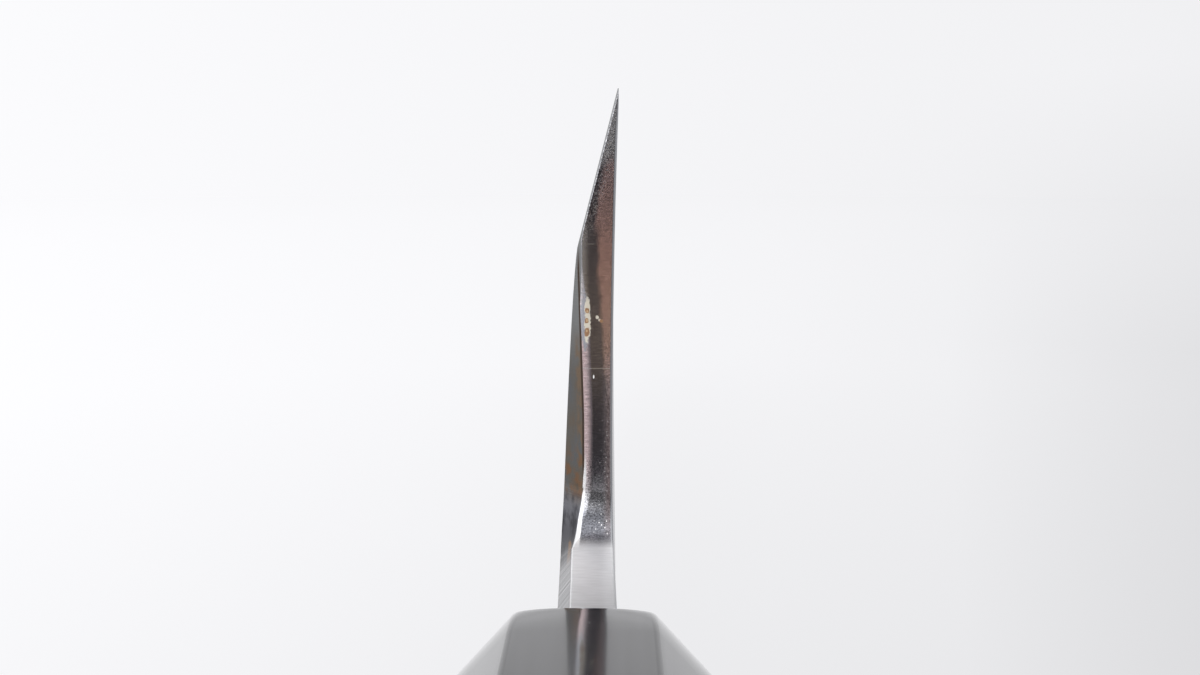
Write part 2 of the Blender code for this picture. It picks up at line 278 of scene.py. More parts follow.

# %% [markdown]
# The tent's glow is brighter in soft patches with no edge, as where lamps would shine on it from outside.
# They all lie outside the picture. One is overhead and lights the neck. One is ahead and above and shines in
# the ferrule's top. One on the left and a little behind draws the bright line along the heel, and a weaker
# one on the right fills in. A small strong one is behind on the left, and the ferrule's top shows it as a
# streak, by way of the heel's left edge.


# %% Bright patches
def patch(tree, towards, aim, full, out, strength):
    """How much brighter the tent is: strength within angle full of direction aim, and nothing past out."""
    length = math.sqrt(sum(a * a for a in aim))
    aim = tuple(a / length for a in aim)
    aligned = add_node(tree, "ShaderNodeVectorMath", {0: towards, 1: aim}, operation="DOT_PRODUCT")
    least, most = math.cos(math.radians(out)), math.cos(math.radians(full))
    sockets = {0: aligned, 1: least, 2: most, 4: strength}
    return add_node(tree, "ShaderNodeMapRange", sockets, interpolation_type="SMOOTHSTEP")


tent_patches = [
    ((0.0, 0.1, 1.0), 12, 50, 1.2),
    ((0.0, 1.0, 0.52), 8, 17, 0.25),
    ((-1.0, -0.35, 0.5), 12, 42, 1.5),
    ((1.0, -0.3, 0.6), 12, 38, 0.4),
    ((-0.5, -0.8, 0.6), 8, 20, 3.0),
]

# %% [markdown]
# The paper's glow is painted brighter on the left and falling off to the right, as if lit from the left, more
# so on the table than above it, and the table is painted darker close by. All this follows the direction in
# which a point lies from where the picture is taken, so near and far paper match and no edge shows.

# %% The tent's light
glow_share = 0.95
tent_material, tree = new_material("pale backdrop paper")
place = add_node(tree, "ShaderNodeTexCoord").outputs["Object"]
sockets = {0: place, 1: tuple(camera.location)}
from_stand = add_node(tree, "ShaderNodeVectorMath", sockets, operation="SUBTRACT")
line_of_sight = add_node(tree, "ShaderNodeVectorMath", {0: from_stand}, operation="NORMALIZE")
apart = add_node(tree, "ShaderNodeSeparateXYZ", {0: line_of_sight}).outputs
sideways, upwards = apart["X"], apart["Z"]
side_share = add_node(tree, "ShaderNodeMapRange", {0: sideways, 1: -1.0, 2: 1.0})
# Painted falloff of light across the paper: brightest on the left, darker to the right and on the table close
# by.
wall_falloff_tones = [(0.2, "fbfbfd"), (0.38, "f7f7f9"), (0.59, "f3f3f5")]
wall_falloff_tones += [(0.71, "f1f1f3"), (0.8, "ededef"), (1.0, "e6e6e8")]
table_falloff_tones = [(0.2, "fcfcfe"), (0.38, "f7f7f9"), (0.58, "f2f2f4"), (0.66, "eeeef0")]
table_falloff_tones += [(0.73, "e3e3e5"), (0.78, "dcdcde"), (1.0, "d6d6d8")]
wall = add_node(tree, "ShaderNodeValToRGB", {0: side_share}, stops=wall_falloff_tones)
table = add_node(tree, "ShaderNodeValToRGB", {0: side_share}, stops=table_falloff_tones)
low_down = add_node(tree, "ShaderNodeMapRange", {0: upwards, 1: 0.08, 2: -0.16})
paper_tone_and_falloff = add_node(tree, "ShaderNodeMix", {0: low_down, 6: wall, 7: table}, data_type="RGBA")
brightness = add_node(tree, "ShaderNodeMapRange", {0: upwards, 1: -0.2, 2: -0.5, 3: 1.0, 4: 0.92})
from_knife = add_node(tree, "ShaderNodeVectorMath", {0: place, 1: knife_middle}, operation="SUBTRACT")
towards = add_node(tree, "ShaderNodeVectorMath", {0: from_knife}, operation="NORMALIZE")
for aim, full, out, strength in tent_patches:
    more = patch(tree, towards, aim, full, out, strength)
    brightness = add_node(tree, "ShaderNodeMath", {0: brightness, 1: more}, operation="ADD")
glow = add_node(tree, "ShaderNodeEmission", {0: paper_tone_and_falloff, 1: brightness})
paper = add_node(tree, "ShaderNodeBsdfDiffuse", {0: paper_tone_and_falloff})
lit_tent = add_node(tree, "ShaderNodeMixShader", {0: glow_share, 1: paper, 2: glow})
finish_material(tree, lit_tent)
tent_material.cycles.emission_sampling = "NONE"
tent.data.materials.append(tent_material)
print("patches:", len(tent_patches))

# %% [markdown]
# A steel face that looks straight at the camera would mirror the white tent and lose its shape. So a dark
# cloth hangs behind the camera and one lies on the table below it, standing for the shade behind the camera.
# Neither
# is lit: each glows with its own painted tones, what hangs darkest at table height and what lies darkest
# furthest from the knife. Only reflections see them. What hangs ends short on the left, higher up most of
# all, where the side lamp has to reach the heel.


# %% Dark cloth behind the camera
def glowing_cloth(name, low, high, stops, along):
    """A flat cloth between two corners, glowing with painted tones spread along an axis, seen by reflections
    alone.
    """
    middle = [(a + b) / 2 for a, b in zip(low, high)]
    turned_up = math.pi / 2 if near(low[1], high[1]) else 0.0
    bpy.ops.mesh.primitive_plane_add(size=1.0, location=middle, rotation=(turned_up, 0, 0))
    made = bpy.context.object
    made.name = name
    made.scale = (high[0] - low[0], max(high[1] - low[1], high[2] - low[2]), 1.0)
    bpy.ops.object.transform_apply(location=True, rotation=True, scale=True)
    material, tree = new_material(name)
    place = add_node(tree, "ShaderNodeTexCoord").outputs["Object"]
    apart = add_node(tree, "ShaderNodeSeparateXYZ", {0: place}).outputs
    share = add_node(tree, "ShaderNodeMapRange", {0: apart[along], 1: low[along], 2: high[along]})
    tone = add_node(tree, "ShaderNodeValToRGB", {0: share}, stops=stops)
    finish_material(tree, add_node(tree, "ShaderNodeEmission", {0: tone, 1: 1.0}))
    made.data.materials.append(material)
    made.visible_camera = False
    made.visible_diffuse = False
    made.visible_shadow = False


cloth_y = -0.33
cloth_right = 0.26
hanging_left, hanging_seam, hanging_left_above, hanging_top = -0.10, 0.12, -0.015, 0.36
lying_left, lying_right, lying_front, lying_z = -0.40, 0.20, -0.06, 1 * MM
hanging = [(0.0, "303032"), (0.6, "47474a"), (1.0, "646468")]
hanging_above = [(0.0, "606064"), (0.35, "6c6c70"), (1.0, "8c8c90")]
lying = [(0.0, "8a8283"), (0.6, "b4abac"), (1.0, "d8d2d3")]
low, high = (hanging_left, cloth_y, 0.0), (cloth_right, cloth_y, hanging_seam)
glowing_cloth("hanging_cloth", low, high, hanging, along=2)
low, high = (hanging_left_above, cloth_y, hanging_seam), (cloth_right, cloth_y, hanging_top)
glowing_cloth("hanging_cloth_above", low, high, hanging_above, along=2)
low, high = (lying_left, cloth_y, lying_z), (lying_right, lying_front, lying_z)
glowing_cloth("lying_cloth", low, high, lying, along=1)
print("cloth at y", cloth_y)

# %% [markdown]
# The blade starts as a forging, and so it does here. Each cross-section is a closed ring of points: down the
# hollow back, over the spine, up the flat side to the ridge (shinogi), and up the ground bevel (kireha) to
# the edge. The sizes are the solids' own. The distance ahead of the heel is called u.

# %% Sizes of the blade
blade_length = 180.0 * MM
heel_height = 57.5 * MM
tip_drop = 20.0 * MM
tip_height = 1.6 * MM
spine_power = 3.6
edge_power = 4.4
thickness_power = 2.6
thickness_round_off = 0.8
spine_thickness = 5.75 * MM
shinogi_thickness = 3.47 * MM
hira_crown = 0.7
tip_thickness = 0.8 * MM
edge_thickness = 0.08 * MM
kireha_width = 13.1 * MM
kireha_growth = 3.0 * MM
kireha_most_of_height = 0.8
hollow_depth = 0.46 * MM
hollow_rim = 1.2 * MM
hollow_rim_most_of_height = 0.15
hollow_power = 1.5
spine_round = 0.45 * MM
spine_round_most_of_width = 0.15
spine_round_most_of_flat = 0.3
neck_height = 18.5 * MM
neck_height_at_ferrule = 16.5 * MM
neck_thickness_at_ferrule = 4.45 * MM
machi_radius = 4.0 * MM
ferrule_front_wall = 8.0 * MM
shoulder_depth = 6.0 * MM
tang_length = 95.0 * MM
tang_height = 11.5 * MM
tang_height_at_end = 7.5 * MM
tang_thickness = 3.8 * MM
tang_thickness_at_end = 2.8 * MM
tang_corner = 0.3 * MM
spare = 3.0 * MM
heel_spine_z = heel_edge_z - heel_height
tip_spine_z = heel_spine_z + tip_drop
handle_axis_z = handle_height / 2
print("heel at y", round(heel_y / MM, 2), "mm")

# %% [markdown]
# Towards the tip spine and edge run together, and the steel thins two ways: from the spine to the edge, and
# from the heel to the tip. A mesh could be shaped by eye to that. Formulas of u and of the height are used
# instead, because the cutters below have to know how thick the steel is wherever they pass.


# %% The blade's outline and its thickness
def mix(a, b, share):
    return a + (b - a) * share


def gone(value, start, full):
    """How far a value has gone from start to full, kept between 0 and 1."""
    return min(max((value - start) / (full - start), 0.0), 1.0)


def blade_share(u):
    return max(u, 0.0) / blade_length


def neck_share(u):
    return gone(-u, 0.0, neck_length)


def spine_z(u):
    neck_rise = (neck_height - neck_height_at_ferrule) * neck_share(u)
    return heel_spine_z + neck_rise + tip_drop * blade_share(u) ** spine_power


def edge_z(u):
    return heel_edge_z - (heel_edge_z - tip_spine_z - tip_height) * blade_share(u) ** edge_power


def spine_width(u):
    return mix(tip_thickness, spine_thickness, (1 - blade_share(u) ** thickness_power) ** thickness_round_off)


def kireha_height(u):
    wanted = kireha_width + kireha_growth * blade_share(u)
    return min(wanted, kireha_most_of_height * (edge_z(u) - spine_z(u)))


def shinogi_width(u):
    flat = edge_z(u) - spine_z(u) - kireha_height(u)
    fall = (spine_thickness - shinogi_thickness) * flat / (heel_height - kireha_width)
    return spine_width(u) - fall * spine_width(u) / spine_thickness


def back_w(u, z):
    """How deep the back is hollowed at a height. It is nothing on the rims, along edge and spine."""
    low, high = (spine_z(u), edge_z(u)) if u >= 0 else (heel_spine_z, heel_edge_z)
    rim = min(hollow_rim, hollow_rim_most_of_height * (high - low))
    share = gone(z, low + rim, high - rim)
    depth = hollow_depth * ((high - low) / heel_height) ** hollow_power * (1 - neck_share(u))
    return depth * (1 - (2 * share - 1) ** 2)


def front_w(u, z):
    """How far the bevelled side stands off the flat of the back at a height."""
    if u < 0:
        return mix(front_w(0.0, z), neck_thickness_at_ferrule, neck_share(u))
    shinogi_z = edge_z(u) - kireha_height(u)
    if z > shinogi_z:
        return mix(shinogi_width(u), edge_thickness, (z - shinogi_z) / kireha_height(u))
    share = (shinogi_z - z) / (shinogi_z - spine_z(u))
    return mix(shinogi_width(u), spine_width(u), share**hira_crown)


print("thickness at the ridge", round(shinogi_width(0.0) / MM, 2), "mm at the heel")

# %% [markdown]
# Lofting is not one of Blender's tools, but a cylinder is nearly the same thing. It has one side face for
# each point of a ring. Its long edges are subdivided into as many stations as the blade has, and then each
# ring of points is set to its cross-section.


# %% A loft made from a cylinder
def loft(name, rings):
    sides, stations = len(rings[0]), len(rings)
    depth = (stations - 1) * MM
    bpy.ops.mesh.primitive_cylinder_add(vertices=sides, radius=MM, depth=depth, location=(0, 0, 0))
    made = bpy.context.object
    made.name = name
    if stations > 2:
        open_with(made, edges=lambda a, b: not near(a.z, b.z))
        bpy.ops.mesh.subdivide(number_cuts=stations - 2)
        close()
    for vertex in made.data.vertices:
        around = round(math.atan2(vertex.co.x, vertex.co.y) / (2 * math.pi) * sides) % sides
        along = round((vertex.co.z + depth / 2) / MM)
        vertex.co = rings[along][around]
    open_with(made, faces=lambda face: True)
    bpy.ops.mesh.normals_make_consistent(inside=False)
    close()
    return made


# %% [markdown]
# Every cross-section has the same number of points, or the loft could not join them. A flat ground by hand is
# not quite flat and rolls over towards the ridge, so the points lie closer together there.

# %% One cross-section of the forging
back_steps_above_level = 16
back_steps_below_level = 6
level_most_of_flat = 0.6
flat_steps = 12
flat_crowding = 1.3
kireha_steps = 6


def section(u, low, high, level, shinogi, corner, back, front):
    """One ring of the forging: down the back, over the spine and up the front."""
    rim = min(hollow_rim, hollow_rim_most_of_height * (high - low))
    above, below = back_steps_above_level, back_steps_below_level
    down = [high, high - rim]
    down += [mix(high - rim, level, i / above) for i in range(1, above)]
    down += [mix(level, low + rim, i / below) for i in range(below + 1)]
    down += [low + corner]
    turn_up = min(level, mix(low, shinogi, level_most_of_flat))
    up = [low + corner, mix(low + corner, turn_up, 0.5)]
    for i in range(flat_steps):
        up.append(mix(turn_up, shinogi, math.sin(math.pi / 2 * i / flat_steps) ** flat_crowding))
    up += [mix(shinogi, high, i / kireha_steps) for i in range(kireha_steps + 1)]
    ring = [(back(z), z) for z in down]
    ring += [(back(low) + corner, low), (front(low) - corner, low)]
    ring += [(front(z), z) for z in up]
    return [(back_x - w, heel_y + u, z) for w, z in ring]


# %% [markdown]
# The stations are closest together at the tip, where the outline turns fast, and far apart on the tang. The
# tang is a plain tapering bar. The handle hides it, but it has to be there: it is what holds the blade.

# %% The forging
level_rise = 0.7 * MM
tang_level, tang_shinogi = 0.6, 0.8
blade_steps = 90
behind_heel = (2.5 * MM, 5.0 * MM)
neck_rings_from = 6 * MM
neck_steps = 8
tang_steps = 5


def blade_ring(u):
    low, high = spine_z(u), edge_z(u)
    level = low + (neck_height + level_rise) / heel_height * (high - low)
    shinogi = high - kireha_height(u)
    widest = spine_round_most_of_width * spine_width(u)
    tallest = spine_round_most_of_flat * (shinogi - low)
    corner = min(spine_round, widest, tallest)
    return section(u, low, high, level, shinogi, corner, lambda z: back_w(u, z), lambda z: front_w(u, z))


def neck_ring(u):
    low, level, top = spine_z(u), neck_top_z + level_rise, neck_top_z + spare
    middle = mix(level, top, 0.5)
    return section(u, low, top, level, middle, spine_round, lambda z: back_w(u, z), lambda z: front_w(u, z))


def tang_place(depth):
    """The tang's middle height, width and height at a depth behind the ferrule's front."""
    share = (depth - shoulder_depth) / (tang_length - shoulder_depth)
    middle_z = mix(neck_top_z - neck_height_at_ferrule / 2, handle_axis_z, share)
    width = mix(tang_thickness, tang_thickness_at_end, share)
    return middle_z, width, mix(tang_height, tang_height_at_end, share)


def tang_ring(depth):
    middle_z, width, height = tang_place(depth)
    low, high = middle_z - height / 2, middle_z + height / 2
    near_side, far_side = back_x - width / 2, back_x + width / 2
    level, shinogi = mix(low, high, tang_level), mix(low, high, tang_shinogi)
    u = -neck_length - depth
    return section(u, low, high, level, shinogi, tang_corner, lambda z: near_side, lambda z: far_side)


angles = [math.pi / 2 * (1 - i / blade_steps) for i in range(blade_steps + 1)]
rings = [blade_ring(blade_length * math.sin(angle)) for angle in angles]
rings += [blade_ring(-behind) for behind in behind_heel]
rings += [neck_ring(mix(-neck_rings_from, -neck_length, i / neck_steps)) for i in range(neck_steps + 1)]
rings += [neck_ring(-neck_length - shoulder_depth)]
rings += [tang_ring(mix(shoulder_depth, tang_length, i / tang_steps)) for i in range(tang_steps + 1)]
forging = loft("forging", rings)
print("forging:", len(forging.data.vertices), "points in", len(rings), "rings")

# %% [markdown]
# Behind the heel the forging is still full height. A block takes that away and leaves the neck. The block's
# lower front edge is rounded first, and what it leaves in the steel is the round inner corner (machi).

# %% Cut the heel and its round inner corner
past_both_sides = 10 * MM
machi_facets = 24
low = (back_x - past_both_sides, ferrule_front_y - shoulder_depth - spare, neck_top_z)
high = (back_x + past_both_sides, heel_y, heel_edge_z + spare)
heel_block = block("heel_block", low, high)
open_with(
    heel_block,
    edges=lambda a, b: all(near(p.y, heel_y) and near(p.z, neck_top_z) for p in (a, b)),
)
bpy.ops.mesh.bevel(offset=machi_radius, segments=machi_facets, profile=0.5, affect="EDGES")
close()
cut(forging, heel_block)
throw_away(heel_block)
print("heel cut, inner corner", machi_radius / MM, "mm")

# %% [markdown]
# The smith chamfers the heel on the bevelled side, round the inner corner and back along the neck. A bevel of
# the finished edge would have one width all along, and this chamfer widens down the heel. So a cutter is
# swept along the path instead.

# %% Path of the heel's chamfer
heel_flat_width = 3.15 * MM
heel_flat_width_low = 2.78 * MM
chamfer_grows_from, chamfer_grows_to = 46.0 * MM, 33.0 * MM
neck_chamfer = 1.0 * MM
least_chamfer = 0.14 * MM
off_the_seam = 0.04 * MM
neck_path_steps = 4
start_above_edge = 1.0 * MM


def heel_path(down_steps, round_steps):
    """Down the heel, round the inner corner and back: y, z, direction into the steel, and share of the round.

    Its stations lie between the facets of the round corner, because a Boolean fails where planes coincide.
    """
    top, foot = heel_edge_z + start_above_edge, neck_top_z + machi_radius + off_the_seam
    path = [(heel_y, mix(top, foot, i / down_steps), 1.0, 0.0, 0.0) for i in range(down_steps + 1)]
    for i in range(round_steps):
        share = (i + 0.5) / round_steps
        along, up = math.cos(share * math.pi / 2), -math.sin(share * math.pi / 2)
        y = heel_y + machi_radius * (along - 1)
        path.append((y, neck_top_z + machi_radius * (1 + up), along, up, share))
    start, end = heel_y - machi_radius - off_the_seam, ferrule_front_y - shoulder_depth - spare
    for i in range(neck_path_steps + 1):
        path.append((mix(start, end, i / neck_path_steps), neck_top_z, 0.0, -1.0, 1.0))
    return path


def flat_width(y, z, round_share):
    """How wide the flat beside the chamfer is, on the heel and, past the round corner, on the neck."""
    width = mix(heel_flat_width, heel_flat_width_low, gone(z, chamfer_grows_from, chamfer_grows_to))
    on_heel = min(width, front_w(0.0, min(z, heel_edge_z)) - least_chamfer)
    return mix(on_heel, front_w(y - heel_y, neck_top_z) - neck_chamfer, round_share)


# %% [markdown]
# Where the chamfer meets the flat of the heel the stone has rounded it: crisply high up and on the neck, and
# widely low down and in the inner corner, where it was blended by hand. So the cutter's profile has an arc,
# whose radius and angle change along the path.

# %% How the chamfer's inner edge is rounded
crisp_round = 0.15 * MM
blended_round, blended_degrees = 2.8 * MM, 21.0
corner_round = 1.3 * MM
neck_round = 0.3 * MM
full_degrees = 45.0
blend_from, blend_to = 47.0 * MM, 39.0 * MM
corner_from, corner_to = 28.5 * MM, 25.0 * MM
corner_until = 0.4


def edge_rounding(z, round_share):
    """Radius of the inner edge's arc, and how many degrees it turns."""
    if round_share > corner_until:
        return mix(corner_round, neck_round, gone(round_share, corner_until, 1.0)), full_degrees
    down = gone(z, blend_from, blend_to)
    down = down * down * (3 - 2 * down)
    in_corner = gone(z, corner_from, corner_to)
    radius = mix(mix(crisp_round, blended_round, down), corner_round, in_corner)
    return radius, mix(mix(full_degrees, blended_degrees, down), full_degrees, in_corner)


# %% [markdown]
# The profile runs in from outside the steel, along the arc, and out again at 45 degrees. Its arc begins a
# touch outside the surface, because a cutter that only grazes a face leaves slivers.

# %% Sweep the chamfer's cutter and cut
proud_share = 0.004
arc_steps = 8


def chamfer_profile(flat, radius, degrees, reach, out):
    """(depth into the steel, w) of the cutter: along an arc of so many degrees, then out at 45 degrees."""
    proud = proud_share * radius
    most = math.radians(degrees)
    start = flat + radius * (1 - math.cos(most)) - radius * math.sin(most)
    profile = [(-out, start)]
    for i in range(arc_steps + 1):
        angle = most * i / arc_steps
        profile.append((radius * (1 - math.cos(angle)) - proud, start + radius * math.sin(angle)))
    profile += [(reach - proud, flat + reach), (-out, flat + reach)]
    return profile


rings = []
for y, z, along, up, share in heel_path(down_steps=37, round_steps=25):
    profile = chamfer_profile(flat_width(y, z, share), *edge_rounding(z, share), reach=6 * MM, out=1 * MM)
    rings.append([(back_x - w, y + along * depth, z + up * depth) for depth, w in profile])
chamfer_block = loft("chamfer_block", rings)
cut(forging, chamfer_block)
throw_away(chamfer_block)
print("chamfer along heel, corner and neck:", len(rings), "stations")

# %% [markdown]
# On the other side the flat of the back meets the heel at a corner that has only been broken with a stone.
# It shows as a thin pale line down the whole heel.

# %% Break the corner between heel and back
broken_corner = 0.27 * MM
broken_most_of_width = 0.3
broken_from, broken_to = math.radians(14), math.radians(76)
broken_steps = 4
broken_out = 0.4 * MM

rings = []
for y, z, along, up, _ in heel_path(down_steps=29, round_steps=17):
    width = front_w(max(y - heel_y, -neck_length), min(z, heel_edge_z))
    size = min(broken_corner, broken_most_of_width * width)
    hollow = back_w(y - heel_y, z)
    arc = [(-broken_out, hollow + size + broken_out * math.tan(math.pi / 2 - broken_from))]
    for i in range(broken_steps + 1):
        angle = mix(broken_from, broken_to, i / broken_steps)
        arc.append((size * (1 - math.cos(angle)), hollow + size * (1 - math.sin(angle))))
    arc.append((size + broken_out * math.tan(broken_to), hollow - broken_out))
    arc.append((-broken_out, hollow - broken_out))
    rings.append([(back_x - w, y + along * depth, z + up * depth) for depth, w in arc])
corner_block = loft("corner_block", rings)
cut(forging, corner_block)
throw_away(corner_block)
print("corner broken by", broken_corner / MM, "mm")

# %% [markdown]
# The blade is two metals welded in the fire: soft iron, and a thin layer of hard steel on the back that
# carries the edge. A wedge that follows the weld divides the forging into the two. Their outer surfaces stay
# flush, as on the real blade, where only a change of sheen shows the join.

# %% Divide the forging at the weld
steel_thickness = 1.1 * MM
steel_thickness_at_tip = 0.2 * MM
steel_run_onto_neck = 12.0 * MM
steel_full_ahead_of_heel = 1.0 * MM


def weld_wedge():
    tip = heel_y + blade_length + spare
    outline = [
        (heel_y - steel_run_onto_neck, 0.0),
        (heel_y + steel_full_ahead_of_heel, steel_thickness),
        (tip, steel_thickness_at_tip),
        (tip, -spare),
        (heel_y - steel_run_onto_neck, -spare),
    ]
    levels = (-spare, heel_edge_z + spare)
    return loft("weld_wedge", [[(back_x - w, y, z) for y, w in outline] for z in levels])


edge_layer = forging.copy()
edge_layer.data = forging.data.copy()
bpy.context.scene.collection.objects.link(edge_layer)
wedge = weld_wedge()
cut(forging, wedge)
cut(edge_layer, wedge, "INTERSECT")
throw_away(wedge)
iron, steel = forging, edge_layer
iron.name, steel.name = "soft_iron_blade", "hard_edge_layer"
for piece in (iron, steel):
    settle(piece, sharp=10)
    print(piece.name, len(piece.data.polygons), "faces")

# %% [markdown]
# Handle and ferrule are planed to one octagon. A box whose long edges are bevelled gives the eight facets.
# The box is made a little low for that and stretched in height, because this octagon is taller than wide.

# %% The plain octagonal bar
handle_width = 23.0 * MM
narrow_facet = 9.5 * MM
side_facet = 10.4 * MM
corner_across = (handle_width - narrow_facet) / 2
corner_up = (handle_height - side_facet) / 2


def plain_octagon(name, y_from, y_to):
    half_width, half_height = handle_width / 2, side_facet / 2 + corner_across
    low = (-half_width, y_from, handle_axis_z - half_height)
    bar = block(name, low, (half_width, y_to, handle_axis_z + half_height))
    open_with(bar, edges=lambda a, b: not near(a.y, b.y))
    bpy.ops.mesh.bevel(offset=corner_across, segments=1, affect="EDGES")
    close()
    for side in (-1, 1):
        flat_z = handle_axis_z + side * half_height
        open_with(bar, faces=lambda face: near(face.center.z, flat_z))
        bpy.ops.transform.translate(value=(0, 0, side * (corner_up - corner_across)))
        close()
    return bar


# %% [markdown]
# The facets are planed flat. Only by the ferrule's front edge has the sanding pad rolled over, and there they
# are lowered, the top and bottom ones most of all along their sides. So the facets are cut into strips, and
# bands are cut near the worn end. The points are lowered by that wear. The ends are rounded next and the long
# edges last. The other way round, the wide rounding of an end would fold the narrow faces of the long edges.
# A row of the wear says how far behind the front edge it is, and in mm how deep all over and at the sides.

# %% Facets, and how far they are worn
facet_strips = 14
facet_edge_round = 0.3 * MM
end_wear = [(4.0 * MM, 0.0, 0.0), (2.8 * MM, 0.015, 0.03), (1.8 * MM, 0.045, 0.1)]
end_wear += [(0.9 * MM, 0.11, 0.22), (0.0, 0.2, 0.36)]
side_wear_power = 3
share_of_wear_elsewhere = 0.7
facets = []
for sx in (-1, 1):
    facets.append(((0.0, sx * 1.0), handle_height / 2, narrow_facet / 2))
    facets.append(((sx * 1.0, 0.0), handle_width / 2, side_facet / 2))
    for sz in (-1, 1):
        length = math.hypot(corner_across, corner_up)
        normal = (sx * corner_up / length, sz * corner_across / length)
        away = (handle_width / 2 * corner_up + side_facet / 2 * corner_across) / length
        facets.append((normal, away, length / 2))


def facet_middle(nx, nz):
    """Where along its own direction a facet has its middle."""
    if near(nx * nz, 0.0):
        return 0.0
    x = math.copysign((handle_width / 2 + narrow_facet / 2) / 2, nx)
    z = math.copysign((handle_height / 2 + side_facet / 2) / 2, nz)
    return x * -nz + z * nx


def worn(x, z, all_over, at_sides):
    """Where a point of the plain octagon goes, with x and z measured from the handle's axis."""
    drops = []
    for (nx, nz), away, half in facets:
        if near(x * nx + z * nz, away):
            off_middle = min(abs(x * -nz + z * nx - facet_middle(nx, nz)) / half, 1.0)
            wear = all_over + at_sides * off_middle**side_wear_power
            if not near(nx, 0.0):
                wear = share_of_wear_elsewhere * (all_over + at_sides)
            drops.append((wear * MM, nx, nz))
    if len(drops) == 2:
        (drop, nx, nz), (other_drop, other_nx, other_nz) = drops
        alike = nx * other_nx + nz * other_nz
        part = (drop - alike * other_drop) / (1 - alike * alike)
        other_part = (other_drop - alike * drop) / (1 - alike * alike)
        drops = [(part, nx, nz), (other_part, other_nx, other_nz)]
    for drop, nx, nz in drops:
        x, z = x - drop * nx, z - drop * nz
    return x, z


# %% [markdown]
# Now the bar is made in that order. Its long edges are told by the direction in which their points lie from
# the handle's axis, and that still holds when the ends are rounded.


# %% The octagonal bar
def on_long_edge(point):
    """Whether a point lies in the direction of one of the octagon's corners, seen from the handle's axis."""
    seen = math.atan2(abs(point.z - handle_axis_z), abs(point.x))
    corners = ((narrow_facet / 2, handle_height / 2), (handle_width / 2, side_facet / 2))
    return any(near(seen, math.atan2(up, across), math.radians(1.0)) for across, up in corners)


def round_end(bar, y, size, segments, profile=0.5):
    open_with(bar, edges=lambda a, b: near(a.y, y) and near(b.y, y))
    bpy.ops.mesh.bevel(offset=size, segments=segments, profile=profile, affect="EDGES")
    close()


def octagonal_bar(name, y_from, y_to, ends, wear=()):
    """The bar with its wear, then its ends rounded, each as round_end is told, and its long edges last."""
    bar = plain_octagon(name, y_from, y_to)
    for behind, *_ in wear[:-1]:
        open_with(bar, faces=lambda face: True)
        bpy.ops.mesh.bisect(plane_co=(0, y_to - behind, 0), plane_no=(0, 1, 0))
        close()
    if wear:
        open_with(bar, edges=lambda a, b: near(a.y, b.y))
        bpy.ops.mesh.subdivide(number_cuts=facet_strips - 1)
        close()
    for vertex in bar.data.vertices:
        for behind, all_over, at_sides in wear:
            if near(vertex.co.y, y_to - behind):
                vertex.co.x, z = worn(vertex.co.x, vertex.co.z - handle_axis_z, all_over, at_sides)
                vertex.co.z = z + handle_axis_z
    for end in ends:
        round_end(bar, *end)
    open_with(bar, edges=lambda a, b: not near(a.y, b.y) and on_long_edge(a) and on_long_edge(b))
    bpy.ops.mesh.bevel(offset=facet_edge_round, segments=4, profile=0.5, affect="EDGES")
    close()
    return bar


# %% [markdown]
# The ferrule is a block of black horn. Its front edge is rounded and polished, its rear edge only broken.
# A round bore from behind takes the tenon of the handle, and a slot in the front wall takes the neck. Both
# are cut with plain solids, as a drill and a chisel would cut them.

# %% The ferrule
front_round = 0.35 * MM
seam_break = 0.12 * MM
tenon_diameter = 16.8 * MM
clearance = 0.3 * MM
seal_wall = 0.6 * MM


def round_bar(name, diameter, y_from, y_to):
    bpy.ops.mesh.primitive_cylinder_add(
        vertices=96,
        radius=diameter / 2,
        depth=y_to - y_from,
        location=(0.0, (y_from + y_to) / 2, handle_axis_z),
        rotation=(math.pi / 2, 0.0, 0.0),
    )
    bar = bpy.context.object
    bar.name = name
    return bar


def neck_block(name, grow, y_from, y_to):
    """A box round the neck where it enters the ferrule, larger than the neck by grow on every side."""
    low = (back_x - neck_thickness_at_ferrule - grow, y_from, neck_top_z - neck_height_at_ferrule - grow)
    return block(name, low, (back_x + grow, y_to, neck_top_z + grow))


ferrule_ends = [(ferrule_front_y, front_round, 5), (ferrule_back_y, seam_break, 2)]
ferrule = octagonal_bar("horn_ferrule", ferrule_back_y, ferrule_front_y, ferrule_ends, end_wear)
bore_end = ferrule_front_y - ferrule_front_wall
bore = round_bar("bore", tenon_diameter + 2 * clearance, ferrule_back_y - spare, bore_end)
slot = neck_block("slot", seal_wall + 2 * clearance, bore_end - spare, ferrule_front_y + spare)
cut(ferrule, bore)
cut(ferrule, slot)
throw_away(bore, slot)
settle(ferrule, sharp=25)
print("ferrule:", len(ferrule.data.polygons), "faces")

# %% [markdown]
# The wooden body is the same octagon. Its butt is chamfered and the tenon stands out of its front end. The
# tang burns its own tapering hole through both when it is driven in hot. A Boolean leaves thin slivers in
# flat faces, so the butt is dissolved back into one face.

# %% The handle's wooden body
butt_y = solid_low.y
butt_chamfer = 1.5 * MM
butt_fullness = 0.6
seam = 0.3 * MM
tang_hole_spare = 4.0 * MM
wood_front_y = ferrule_back_y - seam

